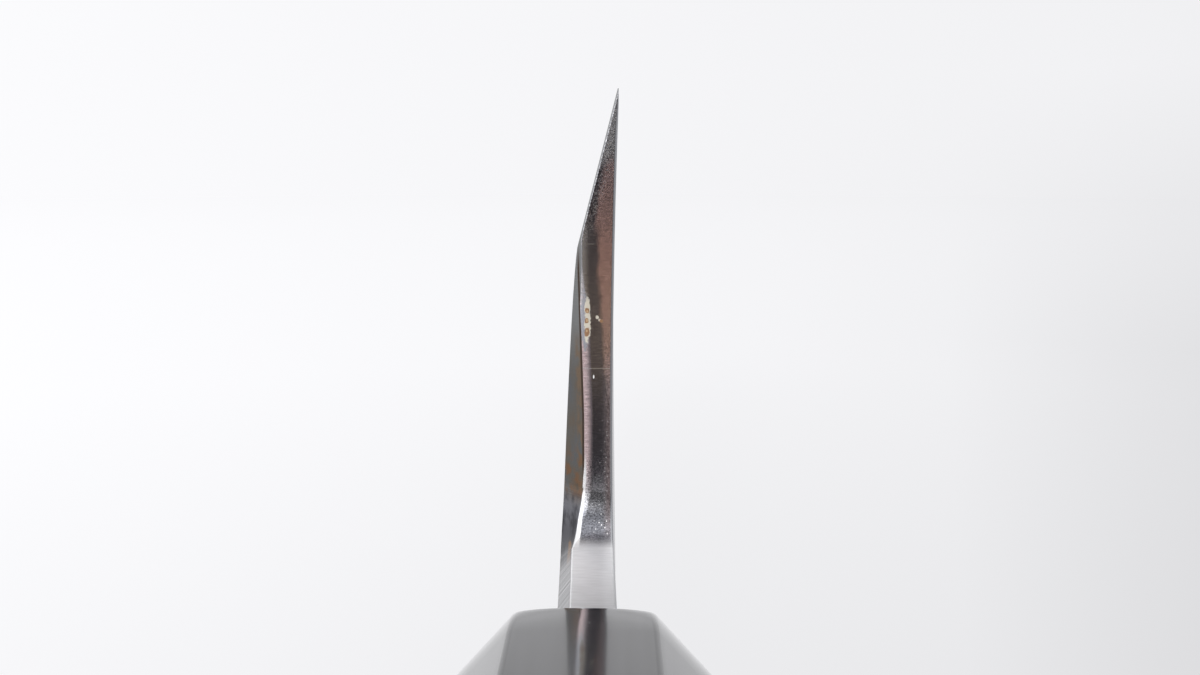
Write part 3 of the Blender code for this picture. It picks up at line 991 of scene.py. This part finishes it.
wood_ends = [(butt_y, butt_chamfer, 5, butt_fullness), (wood_front_y, seam_break, 2)]
wood = octagonal_bar("magnolia_handle", butt_y, wood_front_y, wood_ends)
tenon = round_bar("tenon", tenon_diameter, wood_front_y - spare, bore_end - clearance)
cut(wood, tenon, "UNION")
hole_rings = []
for depth in (shoulder_depth, tang_length, tang_length + tang_hole_spare):
    middle_z, width, height = tang_place(min(depth, tang_length))
    half_height, half_width = height / 2 + clearance, width / 2 + clearance
    corners = [(-1, -1), (1, -1), (1, 1), (-1, 1)]
    y = ferrule_front_y - depth
    hole_rings.append([(a * half_width, y, middle_z + b * half_height) for a, b in corners])
tang_hole = loft("tang_hole", hole_rings)
cut(wood, tang_hole)
throw_away(tenon, tang_hole)
make_whole(wood, butt_y)
settle(wood, sharp=25)
print("wooden body:", len(wood.data.polygons), "faces")

# %% [markdown]
# Where the neck enters the ferrule the slot is filled with dark resin, a little below the horn's face. It
# keeps water off the tang. It is a block with room for the neck cut out, a hair wider, so that they never
# share a face.

# %% The resin seal
seal_depth = 3.0 * MM
seal_round = 0.15 * MM
seal_to_neck = 0.1 * MM
seal_front_y = ferrule_front_y - clearance
seal = neck_block("resin_seal", seal_wall + clearance, seal_front_y - seal_depth, seal_front_y)
round_end(seal, seal_front_y, seal_round, segments=3)
neck_hole = neck_block("neck_hole", seal_to_neck, seal_front_y - seal_depth - spare, seal_front_y + spare)
cut(seal, neck_hole)
throw_away(neck_hole)
settle(seal, sharp=25)
print("seal:", len(seal.data.polygons), "faces")

# %% [markdown]
# Some helpers serve all the marks on the blade, which are placed in millimetres. A zone says where a mark is,
# with soft limits by place or by which way the surface faces. A grain is noise whose lumps have a real size,
# so grinding strokes are lumps that are long one way. Painting lays colours over each other.


# %% Zones, grains and coats
def millimetres(tree):
    """A point's place on the piece, in millimetres."""
    place = add_node(tree, "ShaderNodeTexCoord").outputs["Object"]
    return add_node(tree, "ShaderNodeVectorMath", {0: place, 1: (1 / MM,) * 3}, operation="MULTIPLY")


def zone(tree, *limits):
    """A mask of 1 where every value is past its limit: a value, where it starts and where it is full."""
    mask = 1.0
    for value, start, full in limits:
        low, high, at_low, at_high = (start, full, 0.0, 1.0) if start < full else (full, start, 1.0, 0.0)
        sockets = {0: value, 1: low, 2: high, 3: at_low, 4: at_high}
        past = add_node(tree, "ShaderNodeMapRange", sockets, interpolation_type="SMOOTHSTEP")
        mask = add_node(tree, "ShaderNodeMath", {0: past, 1: mask}, operation="MULTIPLY")
    return mask


def grain(tree, in_mm, lump, least, most, detail=3.0, turned=0.0):
    """Noise from least to most. A lump is so many mm long on each axis, and 0 means the same all along it."""
    sockets = {0: in_mm, 2: (0.0, 0.0, math.radians(turned)), 3: lump}
    place = add_node(tree, "ShaderNodeMapping", sockets, vector_type="TEXTURE")
    lumps = add_node(tree, "ShaderNodeTexNoise", {"Vector": place, "Scale": 1.0, "Detail": detail})
    return add_node(tree, "ShaderNodeMapRange", {0: lumps, 1: 0.3, 2: 0.7, 3: least, 4: most})


def painted(tree, tone, *coats):
    """Lays coats over a tone. Each is a mask and a colour, and the last lies on top."""
    for mask, colour in coats:
        colour = hex_colour(colour) if isinstance(colour, str) else colour
        tone = add_node(tree, "ShaderNodeMix", {0: mask, 6: tone, 7: colour}, data_type="RGBA")
    return tone


# %% [markdown]
# The heel is where a wet hand holds the knife, so it is stained. A dark band runs down its left half, a brown
# one down its right, and the border between them is bowed. These bands are partly thin oxides on the steel
# and partly painted reflection. The left edge of the face was rubbed round by the hand, and a strip along it
# is painted paler. Low on the right it is worn and dull. Two coats are painted shade: the round inner corner
# is darker where it turns up, and high up the rounded left edge is darker, which dims its bright line.

# %% Stains on the heel's face
bow_middle_z = 49.0
bow_bends = [(20.0, -0.0055), (61.0, -0.02)]
bow_middle_x = 0.5


def heel_stains_and_painted_light(tree, in_mm, x, z, from_border, facing_x, facing_z, under):
    """Colours of the heel's face: stains, painted reflection and painted shade, laid over the colour under.
    """
    bow = -bow_middle_x
    for far_z, bend in bow_bends:
        sockets = {0: z, 1: bow_middle_z, 2: far_z, 4: abs(far_z - bow_middle_z)}
        away = add_node(tree, "ShaderNodeMapRange", sockets)
        away = add_node(tree, "ShaderNodeMath", {0: away, 1: 2.0}, operation="POWER")
        bow = add_node(tree, "ShaderNodeMath", {0: away, 1: bend, 2: bow}, operation="MULTIPLY_ADD")
    across = add_node(tree, "ShaderNodeMath", {0: x, 1: bow}, operation="ADD")
    wander = grain(tree, in_mm, (1.2, 0.0, 3.0), -0.25, 0.15, 4.0)
    across = add_node(tree, "ShaderNodeMath", {0: across, 1: wander}, operation="ADD")
    height = add_node(tree, "ShaderNodeMapRange", {0: z, 1: 30.0, 2: 54.0})
    brown_tones = [(0.0, "d0b8b7"), (0.22, "b09e9e"), (0.45, "b09a98"), (0.75, "d2afa9"), (1.0, "c2a8a6")]
    brown = add_node(tree, "ShaderNodeValToRGB", {0: height}, stops=brown_tones)
    return painted(
        tree,
        under,
        # Dark band: partly oxide, partly painted reflection.
        (zone(tree, (x, -0.9, 0.02), (z, 23.0, 28.5), (z, 56.0, 54.4)), "706c70"),
        # Brown band: partly oxide tint, partly painted reflection.
        (zone(tree, (across, -0.3, 0.3), (z, 25.0, 30.0), (z, 56.4, 54.6)), brown),
        (zone(tree, (from_border, -0.1, -0.87), (z, 46.0, 38.0), (z, 25.5, 30.0)), "d0bebf"),
        # Painted shade: the round inner corner is darker where it turns up.
        (zone(tree, (facing_z, 0.05, 0.6), (x, -1.8, -0.7)), "67686d"),
        # Painted shade: the rounded left edge high up is darker, dimming its bright line.
        (zone(tree, (facing_x, -0.08, -0.3), (z, 44.0, 48.0)), "77777a"),
        (zone(tree, (x, 0.9, 1.6), (z, 39.0, 34.0), (z, 21.5, 26.0)), "7c7070"),
    )


# %% [markdown]
# Water has stood on the heel and left a pale scale with rust in it. A few scratches run straight across, and
# specks of dust catch the light low on the right. The places below are x and z on the heel, then half the
# width and half the height of the spot, in millimetres.

# %% Marks on the heel's face
water_stain = [(-0.5, 41.6, 0.5, 2.7)]
scale = [(-0.3, 42.7, 0.26, 1.0), (-0.29, 41.2, 0.3, 1.65)]
scale += [(0.55, 41.9, 0.17, 0.16), (0.8, 41.65, 0.14, 0.12)]
rust = [(-0.31, 42.5, 0.19, 0.3), (-0.36, 41.6, 0.2, 0.26)]
rust += [(-0.34, 40.6, 0.24, 0.42), (0.94, 41.58, 0.18, 0.17)]
rust_middles = [(-0.3, 42.42, 0.08, 0.12), (-0.33, 41.62, 0.1, 0.14), (-0.35, 40.7, 0.09, 0.12)]
bright_nick = [(0.25, 36.6, 0.07, 0.2)]
heel_spots = [("c9c3b4", scale), ("8e6c50", rust), ("b79c78", rust_middles), ("f2f2f2", bright_nick)]
heel_scratches = [(55.6, 0.04, 0.6, 2.1), (48.27, 0.03, -0.8, 0.2), (37.36, 0.035, -1.0, 1.6)]
scratch_fades_over = 0.2
dust_cells_in_mm = 2.0


def spots(tree, in_mm, places, ragged_by=0.25):
    """A mask of small ragged spots."""
    ragged = grain(tree, in_mm, (0.3, 0.0, 0.3), -ragged_by, ragged_by)
    mask = 0.0
    for x, z, half_width, half_height in places:
        sockets = {0: in_mm, 1: (x, 0.0, z), 3: (half_width, 0.0, half_height)}
        about = add_node(tree, "ShaderNodeMapping", sockets, vector_type="TEXTURE")
        away = add_node(tree, "ShaderNodeVectorMath", {0: about}, operation="LENGTH")
        away = add_node(tree, "ShaderNodeMath", {0: away, 1: ragged}, operation="ADD")
        spot = zone(tree, (away, 1.1, 0.75))
        mask = add_node(tree, "ShaderNodeMath", {0: mask, 1: spot}, operation="MAXIMUM")
    return mask


def scratches(tree, x, z):
    """A mask of straight scratches across the heel, each so high, so thick and from one x to another."""
    mask = 0.0
    for height, half_thick, start, end in heel_scratches:
        line = zone(
            tree,
            (z, height - 2 * half_thick, height),
            (z, height + 2 * half_thick, height),
            (x, start - scratch_fades_over, start),
            (x, end + scratch_fades_over, end),
        )
        mask = add_node(tree, "ShaderNodeMath", {0: mask, 1: line}, operation="MAXIMUM")
    return mask


def dust(tree, x, z):
    """A mask of small round specks, in two of three cells."""
    flat = add_node(tree, "ShaderNodeCombineXYZ", {0: x, 1: z})
    sockets = {"Vector": flat, "Scale": dust_cells_in_mm}
    cells = add_node(tree, "ShaderNodeTexVoronoi", sockets, voronoi_dimensions="2D")
    chosen = add_node(tree, "ShaderNodeSeparateColor", {0: cells.outputs["Color"]})
    speck = (cells.outputs["Distance"], 0.13, 0.06)
    return zone(tree, speck, (chosen, 0.3, 0.35), (x, 0.0, 0.8), (z, 36.0, 31.0), (z, 22.0, 23.0))


# %% [markdown]
# Close by, the ground steel is speckled. The stone has left strokes across the heel, and between them lie
# fine pits. Both are strongest near the edge, down the left border, round the inner corner and low on the
# right, where the face was filed by hand. They are drawn a little coarser than they are, so that they show.


# %% Speckle of the heel's face
def speckle(tree, in_mm, x, z):
    """How much lighter or darker each speck is than what lies about it, and a mask of the brightest ones."""
    slant = add_node(tree, "ShaderNodeMapRange", {0: z, 1: 48.2, 2: 61.3, 4: 3.4})
    from_left = add_node(tree, "ShaderNodeMath", {0: x, 1: slant}, operation="SUBTRACT")
    near_edge = zone(tree, (z, 52.0, 56.0))
    left = zone(tree, (from_left, 0.4, -0.4), (z, 46.5, 51.0))
    round_corner = zone(tree, (z, 31.0, 28.0))
    right = zone(tree, (x, 0.7, 1.4), (z, 46.0, 36.0))
    rough_place = 0.0
    for place in (near_edge, left, round_corner, right):
        rough_place = add_node(tree, "ShaderNodeMath", {0: rough_place, 1: place}, operation="MAXIMUM")
    upper = add_node(tree, "ShaderNodeMath", {0: near_edge, 1: left}, operation="MAXIMUM")

    strokes = grain(tree, in_mm, (0.6, 0.0, 0.13), -1.0, 1.0)
    short_strokes = grain(tree, in_mm, (0.2, 0.2, 0.1), -1.0, 1.0, 2.0)
    pits = grain(tree, in_mm, (0.13, 0.13, 0.13), -1.0, 1.0, 1.0)
    both = add_node(tree, "ShaderNodeMath", {0: short_strokes, 1: 0.6, 2: pits}, operation="MULTIPLY_ADD")
    spread = add_node(tree, "ShaderNodeMix", {0: rough_place, 2: strokes, 3: both})
    amount = add_node(tree, "ShaderNodeMapRange", {0: rough_place, 3: 0.28, 4: 0.5})
    amount = add_node(tree, "ShaderNodeMapRange", {0: upper, 3: amount, 4: 0.9})
    lift = add_node(tree, "ShaderNodeMapRange", {0: upper, 3: 1.12, 4: 1.5})
    factor = add_node(tree, "ShaderNodeMath", {0: spread, 1: amount, 2: lift}, operation="MULTIPLY_ADD")
    return factor, zone(tree, (pits, 0.3, 0.8), (upper, 0.2, 1.0))


# %% [markdown]
# Now the heel's face comes together: bare steel with its stains, painted reflection and painted shade, its
# speckle, and the marks on top. At the round inner corner the border of the face is painted near white, a
# painted highlight. Where scale and rust lie on it, it does not shine as metal does, so a mask of those goes
# along with the colour.


# %% The heel's face
def heel_face(tree, in_mm, x, z, from_border, facing_x, facing_z, bare):
    """The heel's colour, and a mask of how far it is crusted over."""
    stains_and_painted_light = heel_stains_and_painted_light(tree, in_mm, x, z, from_border, facing_x, facing_z, bare)
    lighter, specks = speckle(tree, in_mm, x, z)
    speckled = add_node(tree, "ShaderNodeVectorMath", {0: stains_and_painted_light, 3: lighter}, operation="SCALE")
    # Painted highlight: the border of the face at the round inner corner is painted near white.
    highlight_edge_x = add_node(tree, "ShaderNodeMapRange", {0: z, 1: 20.5, 2: 27.0, 3: -1.2, 4: -0.45})
    from_edge = add_node(tree, "ShaderNodeMath", {0: x, 1: highlight_edge_x}, operation="SUBTRACT")
    corner_highlight = zone(tree, (from_edge, 0.1, -0.06), (z, 30.0, 28.0), (z, 20.4, 21.2))
    crusts = [(spots(tree, in_mm, places), code) for code, places in heel_spots]
    tone = painted(
        tree,
        speckled,
        (specks, "c8c8ca"),
        (corner_highlight, "f2f2f3"),
        (spots(tree, in_mm, water_stain), "babec5"),
        (scratches(tree, x, z), "c0bebe"),
        (dust(tree, x, z), "dedcdc"),
        *crusts,
    )
    dull = zone(tree, (x, 0.8, 1.6), (z, 40.0, 35.0), (z, 20.5, 24.0))
    crusted = add_node(tree, "ShaderNodeMath", {0: dull, 1: 0.4}, operation="MULTIPLY")
    for mask, code in crusts:
        crusted = add_node(tree, "ShaderNodeMath", {0: crusted, 1: mask}, operation="MAXIMUM")
    return tone, crusted


# %% [markdown]
# The chamfer beside the face is grey and brown with old oxide. A dark line runs along its inner edge with
# rust beside it, and low on the heel a near-black painted shadow lies along that edge. It was ground last on
# the neck, with slanting strokes, and there it is clean.


# %% The chamfer
def chamfer_tarnish_and_shadow(tree, in_mm, x, z):
    """Colours of the chamfer down the heel, with a painted shadow along its inner edge. Here x is measured
    from the chamfer's inner edge high up.
    """
    oxide = grain(tree, in_mm, (1.2, 0.0, 3.5), 0.0, 1.0, 4.0)
    tones = [(0.15, "5c5d5e"), (0.5, "5f5b56"), (0.75, "62574c"), (0.95, "4a443f")]
    old = add_node(tree, "ShaderNodeValToRGB", {0: oxide}, stops=tones)
    rough = grain(tree, in_mm, (0.6, 0.0, 1.2), 0.0, 1.0)
    brown = zone(
        tree, (x, -1.75, -1.4), (x, -1.0, -1.2), (z, 41.0, 38.0), (z, 24.5, 27.0), (rough, 0.2, 0.6)
    )
    return painted(
        tree,
        old,
        (zone(tree, (z, 36.0, 42.0)), "6e6f6f"),
        (brown, "6c5d4f"),
        (zone(tree, (z, 26.2, 24.2)), "58585c"),
        (zone(tree, (z, 26.8, 25.0), (rough, 0.3, 0.9)), "39393c"),
        (zone(tree, (z, 25.0, 26.5), (z, 30.5, 28.0), (rough, 0.35, 0.8)), "705642"),
        (spots(tree, in_mm, [(-1.64, 21.75, 0.32, 0.6)], 0.35), "7c6450"),
        (zone(tree, (x, -1.2, -1.1), (x, -0.95, -1.02), (z, 48.5, 46.0), (z, 26.5, 29.0)), "40342c"),
        # Painted shadow: a near-black line along the chamfer's inner edge, low on the heel.
        (zone(tree, (x, -0.98, -0.92), (z, 38.0, 34.0), (z, 26.0, 28.0)), "2c2827"),
    )


def chamfer_face(tree, in_mm, x, y, z, from_border):
    """The chamfer's tarnish and painted shadow, and the file marks that replace them on the neck."""
    file_marks = grain(tree, in_mm, (0.0, 0.34, 0.0), 0.6, 1.3, 1.0, turned=40)
    clean = hex_colour("a4a4a5")[:3]
    filed = add_node(tree, "ShaderNodeVectorMath", {0: clean, 3: file_marks}, operation="SCALE")
    ground_last = zone(tree, (y, -14.2, -18.0))
    shaded = zone(tree, (x, -1.5, -1.35), (y, -23.0, -20.0), (y, -14.5, -16.0))
    tarnish_and_shadow = chamfer_tarnish_and_shadow(tree, in_mm, from_border, z)
    return painted(tree, tarnish_and_shadow, (ground_last, filed), (shaded, "4c4c4c"))


# %% [markdown]
# The top of the neck was ground crosswise. Its tone is painted brightest next to the heel, where the lamp
# overhead shines on it, and painted dimmer towards the ferrule and towards the hollow side: a painted falloff
# of light.


# %% The neck
def neck_with_painted_falloff(tree, in_mm, x, y):
    # Painted light: lighter next to the heel, darker towards the ferrule and towards the hollow side.
    painted_falloff_along_neck = add_node(tree, "ShaderNodeMapRange", {0: y, 1: -13.0, 2: -26.0})
    tones = [(0.0, "eaeaeb"), (0.5, "d3d3d4"), (1.0, "b2b2b3")]
    tone = add_node(tree, "ShaderNodeValToRGB", {0: painted_falloff_along_neck}, stops=tones)
    side = add_node(tree, "ShaderNodeMapRange", {0: x, 1: -1.5, 2: 2.3, 3: 1.1, 4: 0.9})
    strokes = grain(tree, in_mm, (1.6, 0.3, 0.0), 0.93, 1.07, 4.0)
    light = add_node(tree, "ShaderNodeMath", {0: strokes, 1: side}, operation="MULTIPLY")
    return add_node(tree, "ShaderNodeVectorMath", {0: tone, 3: light}, operation="SCALE")


# %% [markdown]
# Both metals are carbon steel in a wide sense, ground and not plated. A metal's IOR is left alone: its base
# colour says how much it reflects. The soft iron takes a hazy, satin surface from the stone, and the hard
# layer takes a brighter one. Fine lines run along the sides. One function makes both finishes, and masks by
# place and by facing choose between side, bevel, heel, chamfer and neck.


# %% Steel of the blade
def blade_finish(name, plain_code, haze_code, roughness):
    """Satin sides, a bevel of the metal's own tones and roughness, and the worked faces at heel and neck."""
    material, tree = new_material(name)
    in_mm = millimetres(tree)
    x, y, z = add_node(tree, "ShaderNodeSeparateXYZ", {0: in_mm}).outputs
    normal = add_node(tree, "ShaderNodeNewGeometry").outputs["Normal"]
    facing = add_node(tree, "ShaderNodeSeparateXYZ", {0: normal}).outputs
    facing_x, facing_z = facing["X"], facing["Z"]
    at_heel = zone(tree, (y, -9.6, -10.1), (facing_x, -0.64, -0.5), (facing_x, 0.3, 0.2))
    on_chamfer = zone(tree, (facing_x, -0.5, -0.64), (facing_x, -0.82, -0.74), (y, -5.0, -6.5))
    on_corner = zone(tree, (y, -9.6, -10.1), (facing_x, 0.2, 0.3), (facing_x, 0.9998, 0.998))
    on_neck = zone(tree, (facing_z, 0.6, 0.88), (facing_x, -0.5, -0.3), (y, -12.5, -14.5))
    on_kireha = zone(tree, (facing_x, -0.86, -0.93), (facing_z, 0.12, 0.18))
    grown = (heel_flat_width - heel_flat_width_low) / MM
    sockets = {0: z, 1: chamfer_grows_to / MM, 2: chamfer_grows_from / MM, 3: grown, 4: 0.0}
    border = add_node(tree, "ShaderNodeMapRange", sockets)
    from_border = add_node(tree, "ShaderNodeMath", {0: x, 1: border}, operation="SUBTRACT")

    lines = grain(tree, in_mm, (3.0, 40.0, 0.11), 0.0, 1.0, 4.0)
    cloud = grain(tree, in_mm, (3.0, 9.0, 2.2), 0.0, 1.0, 4.0)
    flat = add_node(tree, "ShaderNodeValToRGB", {0: lines}, stops=[(0.1, "98989a"), (0.9, "afafb2")])
    ground = add_node(tree, "ShaderNodeValToRGB", {0: cloud}, stops=[(0.1, haze_code), (0.9, plain_code)])
    bare = add_node(tree, "ShaderNodeValToRGB", {0: lines}, stops=[(0.1, "bcbcbe"), (0.9, "d0d0d1")])
    heel, crusted = heel_face(tree, in_mm, x, z, from_border, facing_x, facing_z, bare)
    tone = painted(
        tree,
        flat,
        (on_kireha, ground),
        (at_heel, heel),
        (on_chamfer, chamfer_face(tree, in_mm, x, y, z, from_border)),
        (on_corner, "9a9b9e"),
        (on_neck, neck_with_painted_falloff(tree, in_mm, x, y)),
    )

    rough = 0.26
    for mask, here in ((on_kireha, roughness), (at_heel, 0.27), (on_neck, 0.5)):
        rough = add_node(tree, "ShaderNodeMapRange", {0: mask, 3: rough, 4: here})
    not_metal = add_node(tree, "ShaderNodeMath", {0: at_heel, 1: crusted}, operation="MULTIPLY")
    metal = add_node(tree, "ShaderNodeMapRange", {0: not_metal, 3: 1.0, 4: 0.15})
    height = add_node(tree, "ShaderNodeMapRange", {0: at_heel, 3: 1.0, 4: 0.15})
    height = add_node(tree, "ShaderNodeMath", {0: lines, 1: height}, operation="MULTIPLY")
    bump = add_node(tree, "ShaderNodeBump", {"Strength": 0.2, "Distance": 0.02 * MM, "Height": height})
    sockets = {"Base Color": tone, "Metallic": metal, "Roughness": rough, "Normal": bump}
    finish_material(tree, add_node(tree, "ShaderNodeBsdfPrincipled", sockets))
    return material


iron.data.materials.append(blade_finish("ground soft iron", "a0a0a3", "929295", 0.42))
steel.data.materials.append(blade_finish("ground hard carbon steel", "c6c6c8", "b6b6b8", 0.2))
print("blade finishes done")

# %% [markdown]
# Black buffalo horn is keratin, with an IOR of about 1.55, sanded very fine and waxed to a gloss. The wax is
# a clear coat. Faint grey streaks run along it. It was levelled by hand and leans one degree to the right,
# which shows only in where it mirrors the blade. So little can be drawn in the finish.

# %% Horn
facet_lean = 1.0
horn, tree = new_material("polished black buffalo horn")
along = add_node(tree, "ShaderNodeMapping", {0: millimetres(tree), 3: (0.9, 0.05, 0.9)})
streaks = add_node(tree, "ShaderNodeTexNoise", {"Vector": along, "Scale": 1.0, "Detail": 5.0})
tone = add_node(tree, "ShaderNodeValToRGB", {0: streaks}, stops=[(0.35, "161618"), (0.75, "2b2b2d")])
place = add_node(tree, "ShaderNodeTexCoord").outputs["Object"]
across = add_node(tree, "ShaderNodeSeparateXYZ", {0: place})
fall = -math.tan(math.radians(facet_lean))
lean = add_node(tree, "ShaderNodeMath", {0: across, 1: fall}, operation="MULTIPLY")
leaning = add_node(tree, "ShaderNodeBump", {"Strength": 1.0, "Distance": 1.0, "Height": lean})
sockets = {"Base Color": tone, "Roughness": 0.12, "IOR": 1.55, "Normal": leaning}
sockets |= {"Coat Weight": 1.0, "Coat Roughness": 0.06, "Coat Normal": leaning}
finish_material(tree, add_node(tree, "ShaderNodeBsdfPrincipled", sockets))
ferrule.data.materials.append(horn)
print("horn done")

# %% [markdown]
# Magnolia is a pale, even, fine-grained wood. It is left bare, because bare wood grips in a wet hand. Its
# growth rings are cylinders about a pith that lies outside the handle, so one pattern gives lines along the
# sides and arcs on the butt.

# %% Magnolia wood
pith_x, pith_z = 38.0, 30.0
ring_wander = 5.0
magnolia, tree = new_material("bare magnolia wood")
in_mm = millimetres(tree)
drift = add_node(tree, "ShaderNodeMapping", {0: in_mm, 3: (0.05, 0.008, 0.05)})
wander = add_node(tree, "ShaderNodeTexNoise", {"Vector": drift, "Scale": 1.0, "Detail": 2.0})
sockets = {0: wander.outputs["Color"], 1: (ring_wander, 0.0, ring_wander)}
shift = add_node(tree, "ShaderNodeVectorMath", sockets, operation="MULTIPLY")
pith = add_node(tree, "ShaderNodeMapping", {0: in_mm, 1: (pith_x, 0.0, pith_z), 3: (1.0, 0.012, 1.0)})
moved = add_node(tree, "ShaderNodeVectorMath", {0: pith, 1: shift}, operation="ADD")
growth_rings = add_node(
    tree,
    "ShaderNodeTexWave",
    {"Vector": moved, "Scale": 0.17, "Distortion": 1.2, "Detail": 2.0, "Detail Scale": 0.6},
    wave_type="RINGS",
    rings_direction="Y",
    wave_profile="SAW",
)
ring_tones = [(0.0, "d9c39d"), (0.75, "cdb388"), (1.0, "b5986c")]
ring_tone = add_node(tree, "ShaderNodeValToRGB", {0: growth_rings.outputs["Fac"]}, stops=ring_tones)
along_fibres = add_node(tree, "ShaderNodeMapping", {0: in_mm, 3: (6.0, 0.12, 6.0)})
fibres = add_node(tree, "ShaderNodeTexNoise", {"Vector": along_fibres, "Scale": 1.0, "Detail": 4.0})
fibre_tone = add_node(tree, "ShaderNodeValToRGB", {0: fibres}, stops=[(0.3, "b8a07a"), (0.7, "e6d6b6")])
tone = add_node(tree, "ShaderNodeMix", {0: 0.4, 6: ring_tone, 7: fibre_tone}, data_type="RGBA")
bump = add_node(tree, "ShaderNodeBump", {"Strength": 0.3, "Distance": 0.05 * MM, "Height": fibres})
sockets = {"Base Color": tone, "Roughness": 0.5, "IOR": 1.5, "Normal": bump}
finish_material(tree, add_node(tree, "ShaderNodeBsdfPrincipled", sockets))
wood.data.materials.append(magnolia)
print("magnolia done")

# %% [markdown]
# The resin is a dark epoxy, dull because it was wiped while it set. Wiping leaves it lumpy, and one noise
# gives the lumps both their tone and their height.

# %% Resin
lumps_per_metre = 900.0
resin, tree = new_material("wiped dark epoxy")
place = add_node(tree, "ShaderNodeTexCoord").outputs["Object"]
lumps = add_node(tree, "ShaderNodeTexNoise", {"Vector": place, "Scale": lumps_per_metre, "Detail": 2.0})
tone = add_node(tree, "ShaderNodeValToRGB", {0: lumps}, stops=[(0.3, "1c1815"), (0.7, "2f2822")])
bump = add_node(tree, "ShaderNodeBump", {"Strength": 0.4, "Distance": 0.05 * MM, "Height": lumps})
sockets = {"Base Color": tone, "Roughness": 0.45, "IOR": 1.55, "Normal": bump}
finish_material(tree, add_node(tree, "ShaderNodeBsdfPrincipled", sockets))
seal.data.materials.append(resin)
print("resin done")

# %% [markdown]
# Each piece now stands for its solid, whose own mesh is hidden, and belongs to the one body.
# Nothing on this knife moves, so there is only that body. The view is set to show colours as they are
# written.

# %% Hand the pieces over
for piece, node, slot_name in (
    (iron, "blade_body", "soft_iron"),
    (steel, "edge_steel", "hard_steel"),
    (ferrule, "ferrule", "black_horn"),
    (wood, "handle_body", "magnolia_wood"),
    (seal, "tang_seal", "sealing_resin"),
):
    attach(piece, "root")
    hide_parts(node)

bpy.context.scene.view_settings.view_transform = "Standard"
